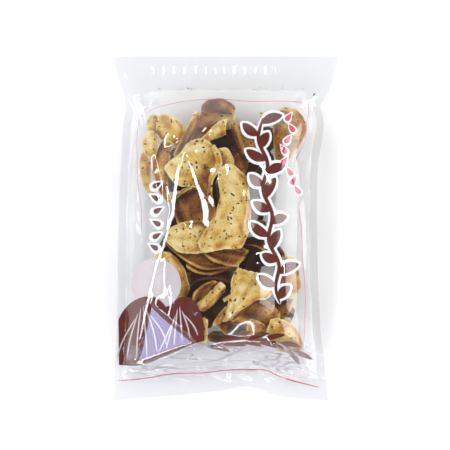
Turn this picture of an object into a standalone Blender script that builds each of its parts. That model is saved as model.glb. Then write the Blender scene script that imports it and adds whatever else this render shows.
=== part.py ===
"""A filled clear bag of thin fried karinto, lying on its back with its printed side up.

The bag is one closed solid of the film's outer form: a flat header with a press zip, flat welds at the
sides and the bottom, and between them a pouch pushed out by the pieces inside it, with the folds that
the film takes where it is pulled over them.

Metres, +Z up, +Y towards the header. The origin is on the surface that the bag lies on, under the
middle of its outline.
"""

import bmesh
import bpy
import numpy as np

BAG_WIDTH = 0.200  # of the flat film, as it still is at the header
BAG_HEIGHT = 0.306
HEADER = 0.030  # from the top edge to the pouch, the zip included
SIDE_WELD = 0.008
BOTTOM_WELD = 0.017
CROWN = 0.053  # the pouch's middle above the floor, before the pieces' own humps
WELD_HANG = 0.020  # how high the side welds hang beside the pouch
WELD_REST = 0.004  # how high the header and the bottom weld lie
WELD_THICKNESS = 0.0009
ZIP_BELOW_TOP = 0.0245
ZIP_HEIGHT = 0.010
ZIP_RIB = 0.0007  # how far the two press ribs stand out of the film
RIB_HALF_WIDTH = 0.0012

TOP_SLOPE = 0.058  # how long the pouch takes to reach its full height, from the header
BOTTOM_SLOPE = 0.050  # the same from the bottom weld
BACK_DEPTH = 0.033  # how far the back film would sink below the welds if no floor stopped it
TOP = BAG_HEIGHT / 2
BOTTOM = -BAG_HEIGHT / 2
POUCH_TOP = TOP - HEADER

# Where the bag's outline runs, seen from above. Filling pulls the sides in beside the pouch, while
# the header and the bottom corners keep nearly the film's flat width.
LEFT_EDGE = (  # (y, x)
    (BOTTOM, -0.1000),
    (-0.085, -0.0955),
    (0.000, -0.0942),
    (0.085, -0.0905),
    (0.117, -0.0892),
    (0.136, -0.0957),
    (TOP, -0.0990),
)
RIGHT_EDGE = (
    (BOTTOM, 0.0920),
    (-0.085, 0.0845),
    (0.000, 0.0816),
    (0.055, 0.0822),
    (0.098, 0.0872),
    (0.110, 0.0850),  # a pucker where the header ends
    (0.117, 0.0905),
    (0.133, 0.0962),
    (0.147, 0.1000),
    (TOP, 0.1000),
)
BOTTOM_EDGE = (  # (x, y): the bottom weld is buckled, so its edge runs in and out
    (-0.100, BOTTOM),
    (-0.040, -0.1480),
    (0.000, -0.1435),
    (0.023, -0.1402),
    (0.044, -0.1480),
    (0.070, -0.1515),
    (0.092, BOTTOM),
)
EDGE_SHIFT_REACH = 0.035  # how far above the bottom the rows follow the buckled edge

# The humps that the largest pieces push up in the front film, each a rounded oblong:
# (x, y, degrees from +X, half length, half width, height)
HUMPS = (
    (0.004, 0.018, 80, 0.040, 0.021, 0.0075),
    (-0.028, 0.054, 60, 0.029, 0.024, 0.0060),
    (-0.036, -0.010, 15, 0.023, 0.015, 0.0045),
    (0.020, -0.057, 75, 0.026, 0.019, 0.0060),
    (-0.047, -0.040, 105, 0.026, 0.015, 0.0040),
    (-0.012, -0.060, 35, 0.021, 0.013, 0.0035),
    (0.054, -0.100, 140, 0.022, 0.017, 0.0060),
    (-0.009, 0.098, 90, 0.019, 0.016, 0.0060),
    (-0.054, 0.086, 0, 0.018, 0.015, 0.0045),
    (0.058, 0.084, 70, 0.030, 0.016, 0.0050),
    (0.057, -0.052, 90, 0.026, 0.012, 0.0040),
    (0.012, -0.026, 10, 0.022, 0.009, 0.0030),
    (-0.066, 0.040, 100, 0.022, 0.010, 0.0035),
)

# Straight folds of the taut film: (x, y) of one end, (x, y) of the other, height, half width
FOLDS = (
    ((-0.046, 0.014), (-0.067, -0.065), 0.0030, 0.011),
    ((-0.067, -0.065), (-0.081, -0.122), 0.0040, 0.016),
    ((-0.046, 0.014), (-0.036, 0.062), 0.0020, 0.008),
    ((-0.046, 0.014), (-0.067, 0.060), 0.0020, 0.008),
    ((-0.081, -0.124), (-0.024, -0.104), 0.0030, 0.010),
    ((-0.024, -0.104), (0.040, -0.104), 0.0020, 0.008),
    ((0.040, -0.103), (0.072, -0.126), 0.0030, 0.008),
    ((0.066, 0.050), (0.078, 0.010), 0.0020, 0.008),
    ((0.062, 0.118), (0.084, 0.100), 0.0020, 0.008),
    ((-0.080, 0.112), (-0.050, 0.122), 0.0020, 0.009),
)
BUCKLE = (0.023, 0.0060, 0.017)  # the bottom weld's raised fold: its x, height and half width

COLUMNS, ROWS = 60, 92
TRIANGLES_KEPT = 0.44  # of the even grid's, spent where the film bends most
FILM_COLOUR = (0.72, 0.55, 0.30, 1.0)  # the pieces' colour as it comes through the film


def through(stations, at):
    """The smooth curve through (place, value) stations, read at an array of places."""
    place, value = np.array(stations, float).T
    slope = np.gradient(value, place)
    at = np.clip(at, place[0], place[-1])
    i = np.clip(np.searchsorted(place, at, side="right") - 1, 0, len(place) - 2)
    step = place[i + 1] - place[i]
    t = (at - place[i]) / step
    return (
        (2 * t**3 - 3 * t**2 + 1) * value[i]
        + (t**3 - 2 * t**2 + t) * step * slope[i]
        + (3 * t**2 - 2 * t**3) * value[i + 1]
        + (t**3 - t**2) * step * slope[i + 1]
    )


def ease(t):
    """0 up to t = 0, 1 from t = 1, and a smooth rise between them."""
    t = np.clip(t, 0, 1)
    return t * t * (3 - 2 * t)


def outline(u, v):
    """The plan position of a point of the film: u and v run from -1 to 1 across and up the bag."""
    y = BOTTOM + (v + 1) / 2 * BAG_HEIGHT
    left, right = through(LEFT_EDGE, y), through(RIGHT_EDGE, y)
    x = left + (u + 1) / 2 * (right - left)
    near_bottom = 1 - ease((y - BOTTOM) / EDGE_SHIFT_REACH)
    return x, y + (through(BOTTOM_EDGE, x) - BOTTOM) * near_bottom


def across(x, y):
    """How full the pouch is across its width: 1 in the middle and 0 at the side welds."""
    left = through(LEFT_EDGE, y) + SIDE_WELD
    right = through(RIGHT_EDGE, y) - SIDE_WELD
    share = np.clip(np.abs(2 * (x - left) / (right - left) - 1), 0, 1)
    return (1 - share**2.6) ** 0.8


def upward(x, y):
    """How full the pouch is along its height: 0 at the header and at the bottom weld."""
    pouch_bottom = through(BOTTOM_EDGE, x) + BOTTOM_WELD
    top = np.clip((POUCH_TOP - y) / TOP_SLOPE, 0, 1)
    bottom = np.clip((y - pouch_bottom) / BOTTOM_SLOPE, 0, 1)
    return np.sin(top * np.pi / 2) ** 0.9 * np.sin(bottom * np.pi / 2) ** 0.9


def weld_height(x, y):
    """The height of the plane in which the front and the back film meet."""
    beside_pouch = np.exp(-((np.abs(y) / 0.105) ** 4))
    centre, height, half_width = BUCKLE
    fold = np.exp(-(((x - centre) / half_width) ** 2)) * ease((-0.112 - y) / 0.020)
    return WELD_REST + (WELD_HANG - WELD_REST) * beside_pouch + height * fold


def humps(x, y):
    """The flat-topped humps of the pieces under the film, as the highest one at each point."""
    total = np.zeros_like(x)
    for cx, cy, degrees, half_length, half_width, height in HUMPS:
        c, s = np.cos(np.radians(degrees)), np.sin(np.radians(degrees))
        along = ((x - cx) * c + (y - cy) * s) / half_length
        beside = ((y - cy) * c - (x - cx) * s) / half_width
        total = np.maximum(total, height * np.exp(-((along**2 + beside**2) ** 1.6)))
    return total


def folds(x, y):
    """Sharp ridges along straight lines, falling away evenly to both sides and at their ends."""
    total = np.zeros_like(x)
    for (ax, ay), (bx, by), height, half_width in FOLDS:
        dx, dy = bx - ax, by - ay
        t = np.clip(((x - ax) * dx + (y - ay) * dy) / (dx * dx + dy * dy), 0, 1)
        away = np.hypot(x - ax - t * dx, y - ay - t * dy) / half_width
        total = np.maximum(total, height * np.clip(1 - away, 0, 1))
    return total


def zip_ribs(y):
    """The two press ribs that cross the header."""
    ribs = np.zeros_like(y)
    for below in (ZIP_BELOW_TOP, ZIP_BELOW_TOP + ZIP_HEIGHT / 2):
        away = np.abs(y - (TOP - below)) / RIB_HALF_WIDTH
        ribs = np.maximum(ribs, ZIP_RIB * np.clip(1.4 - away, 0, 1))
    return ribs


def front_height(x, y):
    full = across(x, y) * upward(x, y)
    inside = np.clip(3 * full, 0, 1)
    pushed = np.maximum(humps(x, y), 0) + folds(x, y)
    raised = (CROWN - WELD_HANG) * full + pushed * inside
    return weld_height(x, y) + WELD_THICKNESS / 2 + raised + zip_ribs(y)


def back_height(x, y):
    full = (across(x, y) * upward(x, y)) ** 0.9
    sunk = weld_height(x, y) - WELD_THICKNESS / 2 - BACK_DEPTH * full
    return np.maximum(sunk, 0)


def film(bm, height_of):
    """One film as an even grid in plan, lifted to the height that height_of gives."""
    grid = bmesh.ops.create_grid(bm, x_segments=COLUMNS, y_segments=ROWS, size=1)["verts"]
    u, v = np.array([vertex.co.xy for vertex in grid], float).T
    x, y = outline(u, v)
    for vertex, place in zip(grid, np.column_stack([x, y, height_of(x, y)])):
        vertex.co = place
    return {vertex.index for vertex in grid}


def bag_mesh():
    """Front and back film, joined by a narrow wall all round the welds."""
    bm = bmesh.new()
    film(bm, front_height)
    front = bm.faces[:]
    film(bm, back_height)
    bmesh.ops.reverse_faces(bm, faces=[face for face in bm.faces if face not in set(front)])
    rim = [edge for edge in bm.edges if edge.is_boundary]
    bmesh.ops.bridge_loops(bm, edges=rim)
    bmesh.ops.recalc_face_normals(bm, faces=bm.faces[:])
    mesh = bpy.data.meshes.new("filled_bag")
    bm.to_mesh(mesh)
    bm.free()
    return mesh


def film_material():
    material = bpy.data.materials.new("clear film over karinto")
    material.use_nodes = True
    shader = material.node_tree.nodes["Principled BSDF"]
    shader.inputs["Base Color"].default_value = FILM_COLOUR
    shader.inputs["Roughness"].default_value = 0.25
    shader.inputs["Metallic"].default_value = 0.0
    return material


def clear_scene():
    for thing in list(bpy.data.objects):
        bpy.data.objects.remove(thing, do_unlink=True)


def build():
    clear_scene()
    parts = bpy.data.collections.new("karinto bag")
    bpy.context.scene.collection.children.link(parts)
    bag = bpy.data.objects.new("filled_bag", bag_mesh())
    bag.data.materials.append(film_material())
    bag.data.shade_smooth()
    parts.objects.link(bag)
    thin = bag.modifiers.new("fewer faces where flat", "DECIMATE")
    thin.ratio = TRIANGLES_KEPT


build()
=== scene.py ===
"""The looks of a clear press-zip bag of thin sesame karinto, lying on its back and seen from above.

The bag's own solid gives way to what it stands for: a clear film round the outside, the print on the
inside of its front, and behind that the curled karinto with their sesame seeds. Each surface is a
height or a position worked out over a grid of two parameters, as whole arrays.

Metres, +Z up out of the printed side, +Y towards the header with the zip.
"""

import bpy
import numpy as np
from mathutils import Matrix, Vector


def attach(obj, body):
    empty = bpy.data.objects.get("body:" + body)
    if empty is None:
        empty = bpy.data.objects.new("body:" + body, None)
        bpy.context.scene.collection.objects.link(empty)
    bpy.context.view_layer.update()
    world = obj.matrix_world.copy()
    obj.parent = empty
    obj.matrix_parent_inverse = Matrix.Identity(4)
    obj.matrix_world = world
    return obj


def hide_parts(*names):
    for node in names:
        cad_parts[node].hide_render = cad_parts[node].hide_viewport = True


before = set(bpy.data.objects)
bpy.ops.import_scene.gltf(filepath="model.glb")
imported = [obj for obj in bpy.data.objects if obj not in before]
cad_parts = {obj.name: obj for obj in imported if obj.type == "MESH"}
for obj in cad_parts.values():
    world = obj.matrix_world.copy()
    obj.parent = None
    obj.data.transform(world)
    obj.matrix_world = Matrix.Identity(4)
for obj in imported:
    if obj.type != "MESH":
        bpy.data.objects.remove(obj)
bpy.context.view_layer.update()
MM = 0.001

# ---------------------------------------------------------------- the bag's own measures, as in its solid

BAG_HEIGHT = 0.306
HEADER = 0.030  # from the top edge to the pouch, the zip included
SIDE_WELD = 0.008
BOTTOM_WELD = 0.017
CROWN = 0.053  # the pouch's middle above the floor, before the humps of what is in it
WELD_HANG = 0.020  # how high the side welds hang beside the pouch
WELD_REST = 0.004  # how high the header and the bottom weld lie
WELD_THICKNESS = 0.0009
ZIP_BELOW_TOP = 0.0245
ZIP_HEIGHT = 0.010
ZIP_RIB = 0.0007
RIB_HALF_WIDTH = 0.0012
TOP_SLOPE = 0.058  # how long the pouch takes to reach its full height, from the header
BOTTOM_SLOPE = 0.050
BACK_DEPTH = 0.033  # how far the back film would sink below the welds if no floor stopped it
TOP = BAG_HEIGHT / 2
BOTTOM = -BAG_HEIGHT / 2
POUCH_TOP = TOP - HEADER
LEFT_EDGE = (  # (y, x)
    (BOTTOM, -0.1000),
    (-0.085, -0.0955),
    (0.000, -0.0942),
    (0.085, -0.0905),
    (0.117, -0.0892),
    (0.136, -0.0957),
    (TOP, -0.0990),
)
RIGHT_EDGE = (
    (BOTTOM, 0.0920),
    (-0.085, 0.0845),
    (0.000, 0.0816),
    (0.055, 0.0822),
    (0.098, 0.0872),
    (0.110, 0.0850),
    (0.117, 0.0905),
    (0.133, 0.0962),
    (0.147, 0.1000),
    (TOP, 0.1000),
)
BOTTOM_EDGE = (  # (x, y)
    (-0.100, BOTTOM),
    (-0.040, -0.1480),
    (0.000, -0.1435),
    (0.023, -0.1402),
    (0.044, -0.1480),
    (0.070, -0.1515),
    (0.092, BOTTOM),
)
EDGE_SHIFT_REACH = 0.035  # how far above the bottom the rows follow the buckled edge
HUMPS = (  # (x, y, degrees from +X, half length, half width, height)
    (0.004, 0.018, 80, 0.040, 0.021, 0.0075),
    (-0.028, 0.054, 60, 0.029, 0.024, 0.0060),
    (-0.036, -0.010, 15, 0.023, 0.015, 0.0045),
    (0.020, -0.057, 75, 0.026, 0.019, 0.0060),
    (-0.047, -0.040, 105, 0.026, 0.015, 0.0040),
    (-0.012, -0.060, 35, 0.021, 0.013, 0.0035),
    (0.054, -0.100, 140, 0.022, 0.017, 0.0060),
    (-0.009, 0.098, 90, 0.019, 0.016, 0.0060),
    (-0.054, 0.086, 0, 0.018, 0.015, 0.0045),
    (0.058, 0.084, 70, 0.030, 0.016, 0.0050),
    (0.057, -0.052, 90, 0.026, 0.012, 0.0040),
    (0.012, -0.026, 10, 0.022, 0.009, 0.0030),
    (-0.066, 0.040, 100, 0.022, 0.010, 0.0035),
)
FOLDS = (  # one end (x, y), the other end, height, half width
    ((-0.046, 0.014), (-0.067, -0.065), 0.0030, 0.011),
    ((-0.067, -0.065), (-0.081, -0.122), 0.0040, 0.016),
    ((-0.046, 0.014), (-0.036, 0.062), 0.0020, 0.008),
    ((-0.046, 0.014), (-0.067, 0.060), 0.0020, 0.008),
    ((-0.081, -0.124), (-0.024, -0.104), 0.0030, 0.010),
    ((-0.024, -0.104), (0.040, -0.104), 0.0020, 0.008),
    ((0.040, -0.103), (0.072, -0.126), 0.0030, 0.008),
    ((0.066, 0.050), (0.078, 0.010), 0.0020, 0.008),
    ((0.062, 0.118), (0.084, 0.100), 0.0020, 0.008),
    ((-0.080, 0.112), (-0.050, 0.122), 0.0020, 0.009),
)
BUCKLE = (0.023, 0.0060, 0.017)  # the bottom weld's raised fold: its x, height and half width
SOFT_CREST = 0.0030  # how far to each side of its line a fold is rounded, which is sharp in the solid


def through(stations, at):
    """The smooth curve through (place, value) stations: a cubic Hermite on each step, with the stations'
    own gradients as slopes, and the end values beyond the ends."""
    place, value = np.array(stations, float).T
    slope = np.gradient(value, place)
    at = np.clip(at, place[0], place[-1])
    i = np.clip(np.searchsorted(place, at, side="right") - 1, 0, len(place) - 2)
    step = place[i + 1] - place[i]
    t = (at - place[i]) / step
    return (
        (2 * t**3 - 3 * t**2 + 1) * value[i]
        + (t**3 - 2 * t**2 + t) * step * slope[i]
        + (3 * t**2 - 2 * t**3) * value[i + 1]
        + (t**3 - t**2) * step * slope[i + 1]
    )


def ease(t):
    """0 up to t = 0, 1 from t = 1, and 3 t^2 - 2 t^3 between them."""
    t = np.clip(t, 0, 1)
    return t * t * (3 - 2 * t)


def outline(u, v):
    """Plan position of a point of the film: u and v from -1 to 1 across and up the bag."""
    y = BOTTOM + (v + 1) / 2 * BAG_HEIGHT
    left, right = through(LEFT_EDGE, y), through(RIGHT_EDGE, y)
    x = left + (u + 1) / 2 * (right - left)
    near_bottom = 1 - ease((y - BOTTOM) / EDGE_SHIFT_REACH)
    return x, y + (through(BOTTOM_EDGE, x) - BOTTOM) * near_bottom


def across(x, y):
    """How full the pouch is across its width: (1 - |share of the half width|^2.6)^0.8."""
    left = through(LEFT_EDGE, y) + SIDE_WELD
    right = through(RIGHT_EDGE, y) - SIDE_WELD
    share = np.clip(np.abs(2 * (x - left) / (right - left) - 1), 0, 1)
    return (1 - share**2.6) ** 0.8


def upward(x, y):
    """How full the pouch is along its height: a quarter sine up from the bottom weld, and one down to
    the header, each to the power 0.9."""
    pouch_bottom = through(BOTTOM_EDGE, x) + BOTTOM_WELD
    top = np.clip((POUCH_TOP - y) / TOP_SLOPE, 0, 1)
    bottom = np.clip((y - pouch_bottom) / BOTTOM_SLOPE, 0, 1)
    return np.sin(top * np.pi / 2) ** 0.9 * np.sin(bottom * np.pi / 2) ** 0.9


def weld_height(x, y):
    """Height of the plane where front and back film meet: WELD_REST at both ends, WELD_HANG beside
    the pouch, by exp(-(|y| / 105 mm)^4), and the bottom weld's one raised fold."""
    beside_pouch = np.exp(-((np.abs(y) / 0.105) ** 4))
    centre, height, half_width = BUCKLE
    fold = np.exp(-(((x - centre) / half_width) ** 2)) * ease((-0.112 - y) / 0.020)
    return WELD_REST + (WELD_HANG - WELD_REST) * beside_pouch + height * fold


def humps(x, y):
    """Rounded oblongs, each of height exp(-(along^2 + beside^2)^1.6), softly joined: the fourth root of the
    sum of their fourth powers."""
    total = np.zeros_like(x)
    for cx, cy, degrees, half_length, half_width, height in HUMPS:
        c, s = np.cos(np.radians(degrees)), np.sin(np.radians(degrees))
        along = ((x - cx) * c + (y - cy) * s) / half_length
        beside = ((y - cy) * c - (x - cx) * s) / half_width
        total += (height * np.exp(-((along**2 + beside**2) ** 1.6))) ** 4
    return total**0.25


def along_and_away(line, x, y):
    """For each point (x, y), the share of a straight line at which it passes nearest, and its distance."""
    (ax, ay), (bx, by) = line
    dx, dy = bx - ax, by - ay
    t = np.clip(((x - ax) * dx + (y - ay) * dy) / (dx * dx + dy * dy), 0, 1)
    return t, np.hypot(x - ax - t * dx, y - ay - t * dy)


def folds(x, y):
    """Ridges along straight lines, evenly falling to both sides but for a soft crest: height (1 - d / half
    width), where d is sqrt(distance^2 + soft^2) - soft."""
    total = np.zeros_like(x)
    for start, end, height, half_width in FOLDS:
        away = along_and_away((start, end), x, y)[1]
        away = (np.sqrt(away**2 + SOFT_CREST**2) - SOFT_CREST) / half_width
        total = np.maximum(total, height * np.clip(1 - away, 0, 1))
    return total


def zip_ribs(y):
    """The two press ribs that cross the header: their height times 1.4 - distance / half width, held between
    0 and 1."""
    ribs = np.zeros_like(y)
    for below in (ZIP_BELOW_TOP, ZIP_BELOW_TOP + ZIP_HEIGHT / 2):
        away = np.abs(y - (TOP - below)) / RIB_HALF_WIDTH
        ribs = np.maximum(ribs, ZIP_RIB * np.clip(1.4 - away, 0, 1))
    return ribs


# ---------------------------------------------------------------- the film's fine shape, over that form

FACET = ((-65, -65, 41.5), (-78, -120, 15.5), (-25, -100, 39.0))  # a flat triangle pulled taut, in mm
FACET_EDGE = 0.003  # over which the film turns into that triangle
CREASES = (  # gentle ridges of the taut film: points (x, y, height) along it and its half width, in mm
    (((-22, 62, 0), (-19, 48, 1.5), (-14, 33, 1.3), (-8, 18, 0)), 14.0),
    (((-81, -123, 0.3), (-52, -113, 0.9), (-25, -101, 0.9), (-19, -102, 0.6)), 2.2),
    (((-19, -102, 0.6), (6, -108, 0.8), (24, -112, 0.6), (44, -100, 0.9)), 2.2),
    (((44, -100, 0.9), (58, -110, 0.9), (68, -126, 0)), 2.2),
    (((62, 34, 0), (63, 22, 0.5), (62, 12, 0)), 1.8),
    (((72, -14, 0), (73, -19, 0.5), (74, -24, 0)), 1.8),
    (((70, -62, 0), (76, -76, 0.7), (77, -88, 0)), 2.0),
    (((-98, 145, 0), (-88, 140, 0.7), (-78, 134, 0)), 2.2),
    (((-94, 138, 0), (-84, 136, 0.7), (-76, 138, 0)), 2.2),
    (((-72, 104, 0), (-64, 112, 0.8), (-58, 120, 0)), 2.2),
    (((-88, 118, 0), (-80, 122, 0.7), (-70, 116, 0)), 2.2),
    (((76, 118, 0), (80, 108, 0.7), (79, 98, 0)), 2.0),
)
PLEATS = (  # upright pleats of the taut film: points (x, y, width of the left flank) down the bag, in mm
    (
        (-36, 60, 2.6), (-39, 56, 3.2), (-41, 49, 3.5), (-43, 32, 3.4), (-45, 13, 3.2), (-49, 2, 3.0),
        (-54, -17, 2.8), (-59, -29, 2.8), (-64, -50, 2.8), (-68, -65, 2.8), (-75, -97, 2.6), (-80, -118, 2.4),
    ),
    (
        (-33, 61, 2.8), (-29, 53, 3.6), (-25, 41, 4.4), (-21, 31, 5.2), (-18, 22, 6.0), (-16.5, 15, 6.2),
        (-17, 8, 4.6),
    ),
    ((-84, 112, 2.2), (-81, 106, 2.6), (-78, 100, 2.2)),
    ((-72, 117, 2.0), (-70, 112, 2.4), (-68, 107, 2.0)),
    ((-90, 139, 1.8), (-88, 135, 2.2), (-86, 131, 1.8)),
)
PLEAT_END = 4.0  # mm over which a pleat fades at its ends
PLEAT_REACH = 9.0  # mm beyond the flank over which the film comes back
PLEAT_EASE = 0.16  # how much less the film slopes just beside a pleat's flank
PLEAT_EASE_REACH = 4.0
PLEAT_STATIONS = 160  # down a pleat, where its flank is worked out
LEVEL_FLANK = 0.41  # a flank's slope where the film doesn't rise along it
STEEPEST_RISE = 0.9  # of the film along a flank
RIPPLE_SPAN = (TOP - 0.0195, TOP - 0.0065)  # of the header, between the plain seal and the zip
RIPPLE_ENDS = (-0.082, 0.062)
RIPPLE_PITCH = 0.0092
RIPPLE_SWAYS = ((0.7, 61, 0), (0.5, 143, 1))  # of the phase, by size sin(rate x + start)
RIPPLE_SLOPE = 0.43  # at the steepest, in the header's middle
RIPPLE_GROWTH = 0.58  # of that slope, for each metre to the right
RIPPLE_UNEVEN = (0.02, 210)  # the size and the rate of that slope's own sway
RIPPLE_LEAN = 0.16  # of the ripples at the left
PUCKER, PUCKER_LENGTH = 0.00045, 0.011  # height and length of the waves beside the side welds
FOOT_FOLD, FOOT_FOLD_LENGTH = 0.0007, 0.015  # and of those over the bottom weld
FOOT_TOP = -0.098  # y under which the film is crumpled
FOLDS_END, DULL_END = -0.139, -0.137  # y where its folds and its dullness end at the weld
SLACK, SLACK_LENGTH = 0.00012, 0.030


def waves(x, y, rng, length, count=9):
    """Rolling relief of about unit height: count plane waves of random heading, phase and a length of
    0.7 to 1.5 times the one given, summed and divided by sqrt(count / 2)."""
    heading, phase = rng.uniform(0, 2 * np.pi, (2, count))
    k = 2 * np.pi / (length * rng.uniform(0.7, 1.5, count))
    turned = x[..., None] * np.cos(heading) + y[..., None] * np.sin(heading)
    return np.sin(turned * k + phase).sum(-1) / np.sqrt(count / 2)


def creases(x, y):
    """Rounded ridges along bent lines: height (1 - (distance / half width)^2)^2, with the height changing
    evenly from one point of the line to the next."""
    total = np.zeros_like(x)
    for points, half_width in CREASES:
        ridge = np.zeros_like(x)
        for (ax, ay, first), (bx, by, last) in zip(points[:-1], points[1:]):
            along, away = along_and_away(((ax * MM, ay * MM), (bx * MM, by * MM)), x, y)
            share = np.clip(away / (half_width * MM), 0, 1)
            height = (first + (last - first) * along) * MM
            ridge = np.maximum(ridge, height * (1 - share**2) ** 2)
        total += ridge
    return total


def flank(points, base):
    """Down one pleat, as arrays: y, the x of the flank's start and end, the base height at both, and the
    flank's slope. The slope is sqrt(2 - up^2) - 1, where up is how steeply the flank rises up the bag: at
    that slope it mirrors a light that stands as high as it is far to the left."""
    middle, down, width = np.array(points, float)[::-1].T * MM
    y = np.linspace(down[0] - PLEAT_END * MM, down[-1] + PLEAT_END * MM, PLEAT_STATIONS)
    middle, half = np.interp(y, down, middle), np.interp(y, down, width) / 2
    start, end = middle - half, middle + half
    low, high = base(start, y), base(end, y)
    slope = np.full_like(y, LEVEL_FLANK)
    for _ in range(4):
        up = np.gradient(low, y) - slope * np.gradient(start, y)
        slope = np.sqrt(2 - np.clip(up, -STEEPEST_RISE, STEEPEST_RISE) ** 2) - 1
    return y, start, end, low, high, slope


def pleat(x, y, height, down, *columns):
    """What one pleat adds to a height, from what flank gives. Across the flank the film is straight, from the
    height low at its start; beyond its end it comes back by exp(-(distance / reach)^2). To both sides of the
    flank its slope is eased: height -ease distance exp(-(distance / reach)^2)."""
    near = (y > down[0]) & (y < down[-1])
    start, end, low, high, slope = (np.interp(y[near], down, column) for column in columns)
    along = x[near]
    beside = along - np.clip(along, start, end)
    rise = low + slope * (along - start) - height[near]
    back = (low + slope * (end - start) - high) * np.exp(-((beside / (PLEAT_REACH * MM)) ** 2))
    eased = PLEAT_EASE * beside * np.exp(-((beside / (PLEAT_EASE_REACH * MM)) ** 2))
    from_end = np.minimum(y[near] - down[0], down[-1] - y[near]) / (PLEAT_END * MM)
    added = np.zeros_like(x)
    added[near] = np.where(along < start, 0, np.where(along < end, rise, back)) - eased
    added[near] *= ease(from_end - 0.5)
    return added


def header_ripples(x, y):
    """The short upright waves under the top seal, leaning at their left: sin(phase), where the phase sways
    as it runs. Each wave's height is its slope over the phase's own, so that all are about equally steep."""
    low, high = RIPPLE_SPAN
    left, right = RIPPLE_ENDS
    within = ease((y - low) / 0.004) * ease((high - y) / 0.003)
    x = x + RIPPLE_LEAN * np.clip(-x / 0.07, -0.2, 1.2) * (y - high)
    ends = ease((right - x) / 0.02) * ease((x - left) / 0.01)
    phase, quickness = 2 * np.pi * x / RIPPLE_PITCH, 2 * np.pi / RIPPLE_PITCH
    for size, rate, start in RIPPLE_SWAYS:
        phase = phase + size * np.sin(rate * x + start)
        quickness = quickness + size * rate * np.cos(rate * x + start)
    size, rate = RIPPLE_UNEVEN
    slope = RIPPLE_SLOPE + RIPPLE_GROWTH * x + size * np.sin(rate * x)
    return slope / quickness * ends * within * np.sin(phase)


def puckers(x, y):
    """Folds beside the welds, dying out towards the pouch's middle: waves drawn out upright along the sides,
    and above the bottom weld level crests, 1 - 2 sqrt(wave^2 + 0.02)."""
    rng = np.random.default_rng(11)
    full = across(x, y) * upward(x, y)
    beside = ease(full / 0.06) * np.exp(-((full / 0.45) ** 2)) * ease((y + 0.120) / 0.03)
    upright = waves(x, y * 0.10 + 0.15 * x, rng, PUCKER_LENGTH)
    low = ease((FOOT_TOP - y) / 0.016) * ease((y - FOLDS_END) / 0.006)
    rolling = waves(x * 0.45, y * 1.15 + 0.22 * x, rng, FOOT_FOLD_LENGTH)
    crested = 1 - 2 * np.sqrt(rolling**2 + 0.02)
    return PUCKER * beside * upright + FOOT_FOLD * low * crested


def crumpled(x, y):
    """How much the film is crumpled dull: 1 over the foot between the pieces and the weld, eased to 0."""
    full = across(x, y) * upward(x, y)
    low = ease((FOOT_TOP - y) / 0.012) * ease((y - DULL_END) / 0.006)
    return low * ease(full / 0.2) * (1 - in_facet(x, y))


def slack(x, y):
    """The film's slight unevenness everywhere inside the welds."""
    rng = np.random.default_rng(12)
    inside = ease(across(x, y) * upward(x, y) / 0.2)
    return SLACK * inside * waves(x, y, rng, SLACK_LENGTH)


def in_facet(x, y):
    """How far inside the taut triangle a point is: 0 up to 0.4 of its edge outside any side, 1 from 0.6 of it
    inside all three, and eased between them."""
    corners = np.array(FACET) * MM
    inside = np.ones_like(x)
    for (ax, ay, _), (bx, by, _) in zip(corners, np.roll(corners, -1, axis=0)):
        depth = ((bx - ax) * (y - ay) - (by - ay) * (x - ax)) / np.hypot(bx - ax, by - ay)
        inside = np.minimum(inside, ease(depth / FACET_EDGE + 0.4))
    return inside


def taut_height(x, y):
    """Height of the front film but for its finest shape: the weld plane, the pouch's crown, the humps and
    folds and the zip's ribs, with the flat triangle's plane set in."""
    full = across(x, y) * upward(x, y)
    inside = np.clip(3 * full, 0, 1)
    raised = (CROWN - WELD_HANG) * full + (humps(x, y) + folds(x, y)) * inside
    height = weld_height(x, y) + WELD_THICKNESS / 2 + raised + zip_ribs(y)
    first, second, third = np.array(FACET) * MM
    normal = np.cross(second - first, third - first)
    plane = first[2] - ((x - first[0]) * normal[0] + (y - first[1]) * normal[1]) / normal[2]
    return height + in_facet(x, y) * (plane - height)


def unpleated_height(x, y):
    """Height of the front film but for its pleats."""
    fine = creases(x, y) + header_ripples(x, y) + puckers(x, y) + slack(x, y)
    return taut_height(x, y) + fine * (1 - in_facet(x, y))


def front_height(x, y):
    """Height of the front film. Each pleat is laid over the film with the pleats before it."""
    height = unpleated_height(x, y)
    loose = 1 - in_facet(x, y)
    for columns in flanks:
        height = height + pleat(x, y, height, *columns) * loose
    return height


# Each flank is worked out on the film with the pleats before it.
flanks = []
for pleat_points in PLEATS:
    flanks.append(flank(pleat_points, front_height))


def back_height(x, y):
    """Height of the back film: the weld plane less the pouch's depth, by (across upward)^0.9, and never under
    the floor."""
    full = (across(x, y) * upward(x, y)) ** 0.9
    return np.maximum(weld_height(x, y) - WELD_THICKNESS / 2 - BACK_DEPTH * full, 0)


# ---------------------------------------------------------------- meshes from grids


def quads_of(rows, columns):
    """The quads of a grid of rows by columns points, right-handed about rows x columns."""
    index = np.arange(rows * columns).reshape(rows, columns)
    return np.stack([index[:-1, :-1], index[1:, :-1], index[1:, 1:], index[:-1, 1:]], -1).reshape(-1, 4)


def rim_of(rows, columns):
    """The points round the edge of such a grid, in order."""
    index = np.arange(rows * columns).reshape(rows, columns)
    return np.concatenate([index[:-1, 0], index[-1, :-1], index[:0:-1, -1], index[0, :0:-1]])


def slab(top, bottom):
    """Points and quads of a thin closed body: a grid, a grid under it turned over, and a wall between
    their edges. Both are (rows, columns, 3), right-handed about the outward normal of the first."""
    quads, rim = quads_of(*top.shape[:2]), rim_of(*top.shape[:2])
    under = top.shape[0] * top.shape[1]
    onward = np.roll(rim, -1)
    wall = np.stack([rim, rim + under, onward + under, onward], -1)
    points = np.concatenate([top.reshape(-1, 3), bottom.reshape(-1, 3)])
    return points, np.concatenate([quads, quads[:, ::-1] + under, wall])


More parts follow.
